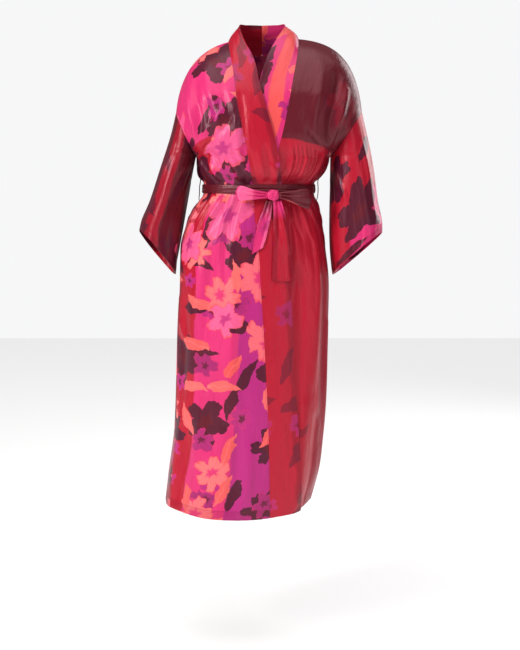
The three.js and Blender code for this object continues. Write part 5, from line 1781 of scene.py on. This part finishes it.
# %% [markdown]
# Studio, camera and light.
#
# The robe hangs over a plain pale floor, and the pale world behind it takes the place of a wall.
# One tall soft light from the front left gives satin its long highlights, and a weak one on the
# right opens the shadows. A very wide light from the ceiling fills the folds evenly, and a soft
# one from behind keeps the back from going dark. The camera stands three metres off with a
# slightly long lens, level with the waist, and looks a few degrees down.

# %% Floor
def plain_paper():
    material = bpy.data.materials.new("plain_pale_paper")
    nodes = Nodes(material)
    spot = nodes.add("ShaderNodeTexCoord").outputs["Object"]
    grain = nodes.add("ShaderNodeTexNoise", {"Vector": spot, "Scale": 40.0, "Detail": 3.0}).outputs[0]
    colour = nodes.ramp(grain, [(0.3, (0.8, 0.8, 0.8, 1)), (0.7, (0.83, 0.83, 0.83, 1))])
    surface = nodes.add("ShaderNodeBsdfPrincipled", {
        "Base Color": colour,
        "Roughness": 0.9,
        "Emission Color": (1.0, 1.0, 1.0, 1.0),
        "Emission Strength": 0.22,
    })
    out = nodes.add("ShaderNodeOutputMaterial")
    nodes.tree.links.new(surface.outputs[0], out.inputs[0])
    return material


FLOOR = -1.53
FLOOR_HALF = 6
floor_mesh = bpy.data.meshes.new("paper_floor")
floor_corners = [(x * FLOOR_HALF, y * FLOOR_HALF, FLOOR) for x, y in ((-1, -1), (1, -1), (1, 1), (-1, 1))]
floor_mesh.from_pydata(floor_corners, [], [(0, 1, 2, 3)])
floor = bpy.data.objects.new("paper_floor", floor_mesh)
bpy.context.collection.objects.link(floor)
floor.data.materials.append(plain_paper())

# %% Camera
CAMERA_PLACE = (-0.005, -3.0, -0.35)
CAMERA_AIM = (-0.005, 0.0, -0.709)
view = bpy.data.cameras.new("photo_view")
view.sensor_fit = "VERTICAL"
view.sensor_height = 36
view.lens = 65.3
camera = bpy.data.objects.new("photo_view", view)
bpy.context.collection.objects.link(camera)
camera.location = CAMERA_PLACE
towards = Vector(CAMERA_AIM) - camera.location
camera.rotation_euler = towards.to_track_quat("-Z", "Y").to_euler()
bpy.context.scene.camera = camera
print("Camera metres from what it looks at:", round(towards.length, 3))


# %% Lights
def soft_light(name, place, aim, size, power, colour):
    lamp = bpy.data.lights.new(name, "AREA")
    lamp.shape = "RECTANGLE"
    lamp.size, lamp.size_y = size
    lamp.energy = power
    lamp.color = colour
    light = bpy.data.objects.new(name, lamp)
    bpy.context.collection.objects.link(light)
    light.location = place
    light.rotation_euler = (Vector(aim) - Vector(place)).to_track_quat("-Z", "Y").to_euler()
    return light


ROBE_MIDDLE = (0, 0, -0.6)
soft_light("key_light", (-2.3, -2.0, 0.9), ROBE_MIDDLE, (0.7, 1.6), 74, (1.0, 0.98, 0.96))
soft_light("fill_light", (1.8, -2.6, 0.1), ROBE_MIDDLE, (0.9, 2.0), 11, (0.97, 0.98, 1.0))
ceiling = bpy.data.lights.new("ceiling_light", "SUN")
ceiling.energy = 2.1
ceiling.angle = math.radians(70)
ceiling_light = bpy.data.objects.new("ceiling_light", ceiling)
bpy.context.collection.objects.link(ceiling_light)
ceiling_light.rotation_euler = (math.radians(14), 0, 0)
soft_light("back_light", (2.0, 1.9, 0.6), ROBE_MIDDLE, (1.3, 2.0), 34, (1.0, 1.0, 1.0))

# %% The pale world
world = bpy.data.worlds.new("pale_room")
world.use_nodes = True
world_nodes = world.node_tree.nodes
sky = world_nodes["Background"]
sky.inputs["Color"].default_value = (0.98, 0.98, 0.99, 1)
seen = world_nodes.new("ShaderNodeLightPath")
strength = world_nodes.new("ShaderNodeMapRange")
strength.inputs["To Min"].default_value = 0.1
strength.inputs["To Max"].default_value = 0.95
world.node_tree.links.new(seen.outputs["Is Camera Ray"], strength.inputs["Value"])
world.node_tree.links.new(strength.outputs["Result"], sky.inputs["Strength"])
bpy.context.scene.world = world
bpy.context.scene.view_settings.view_transform = "Standard"
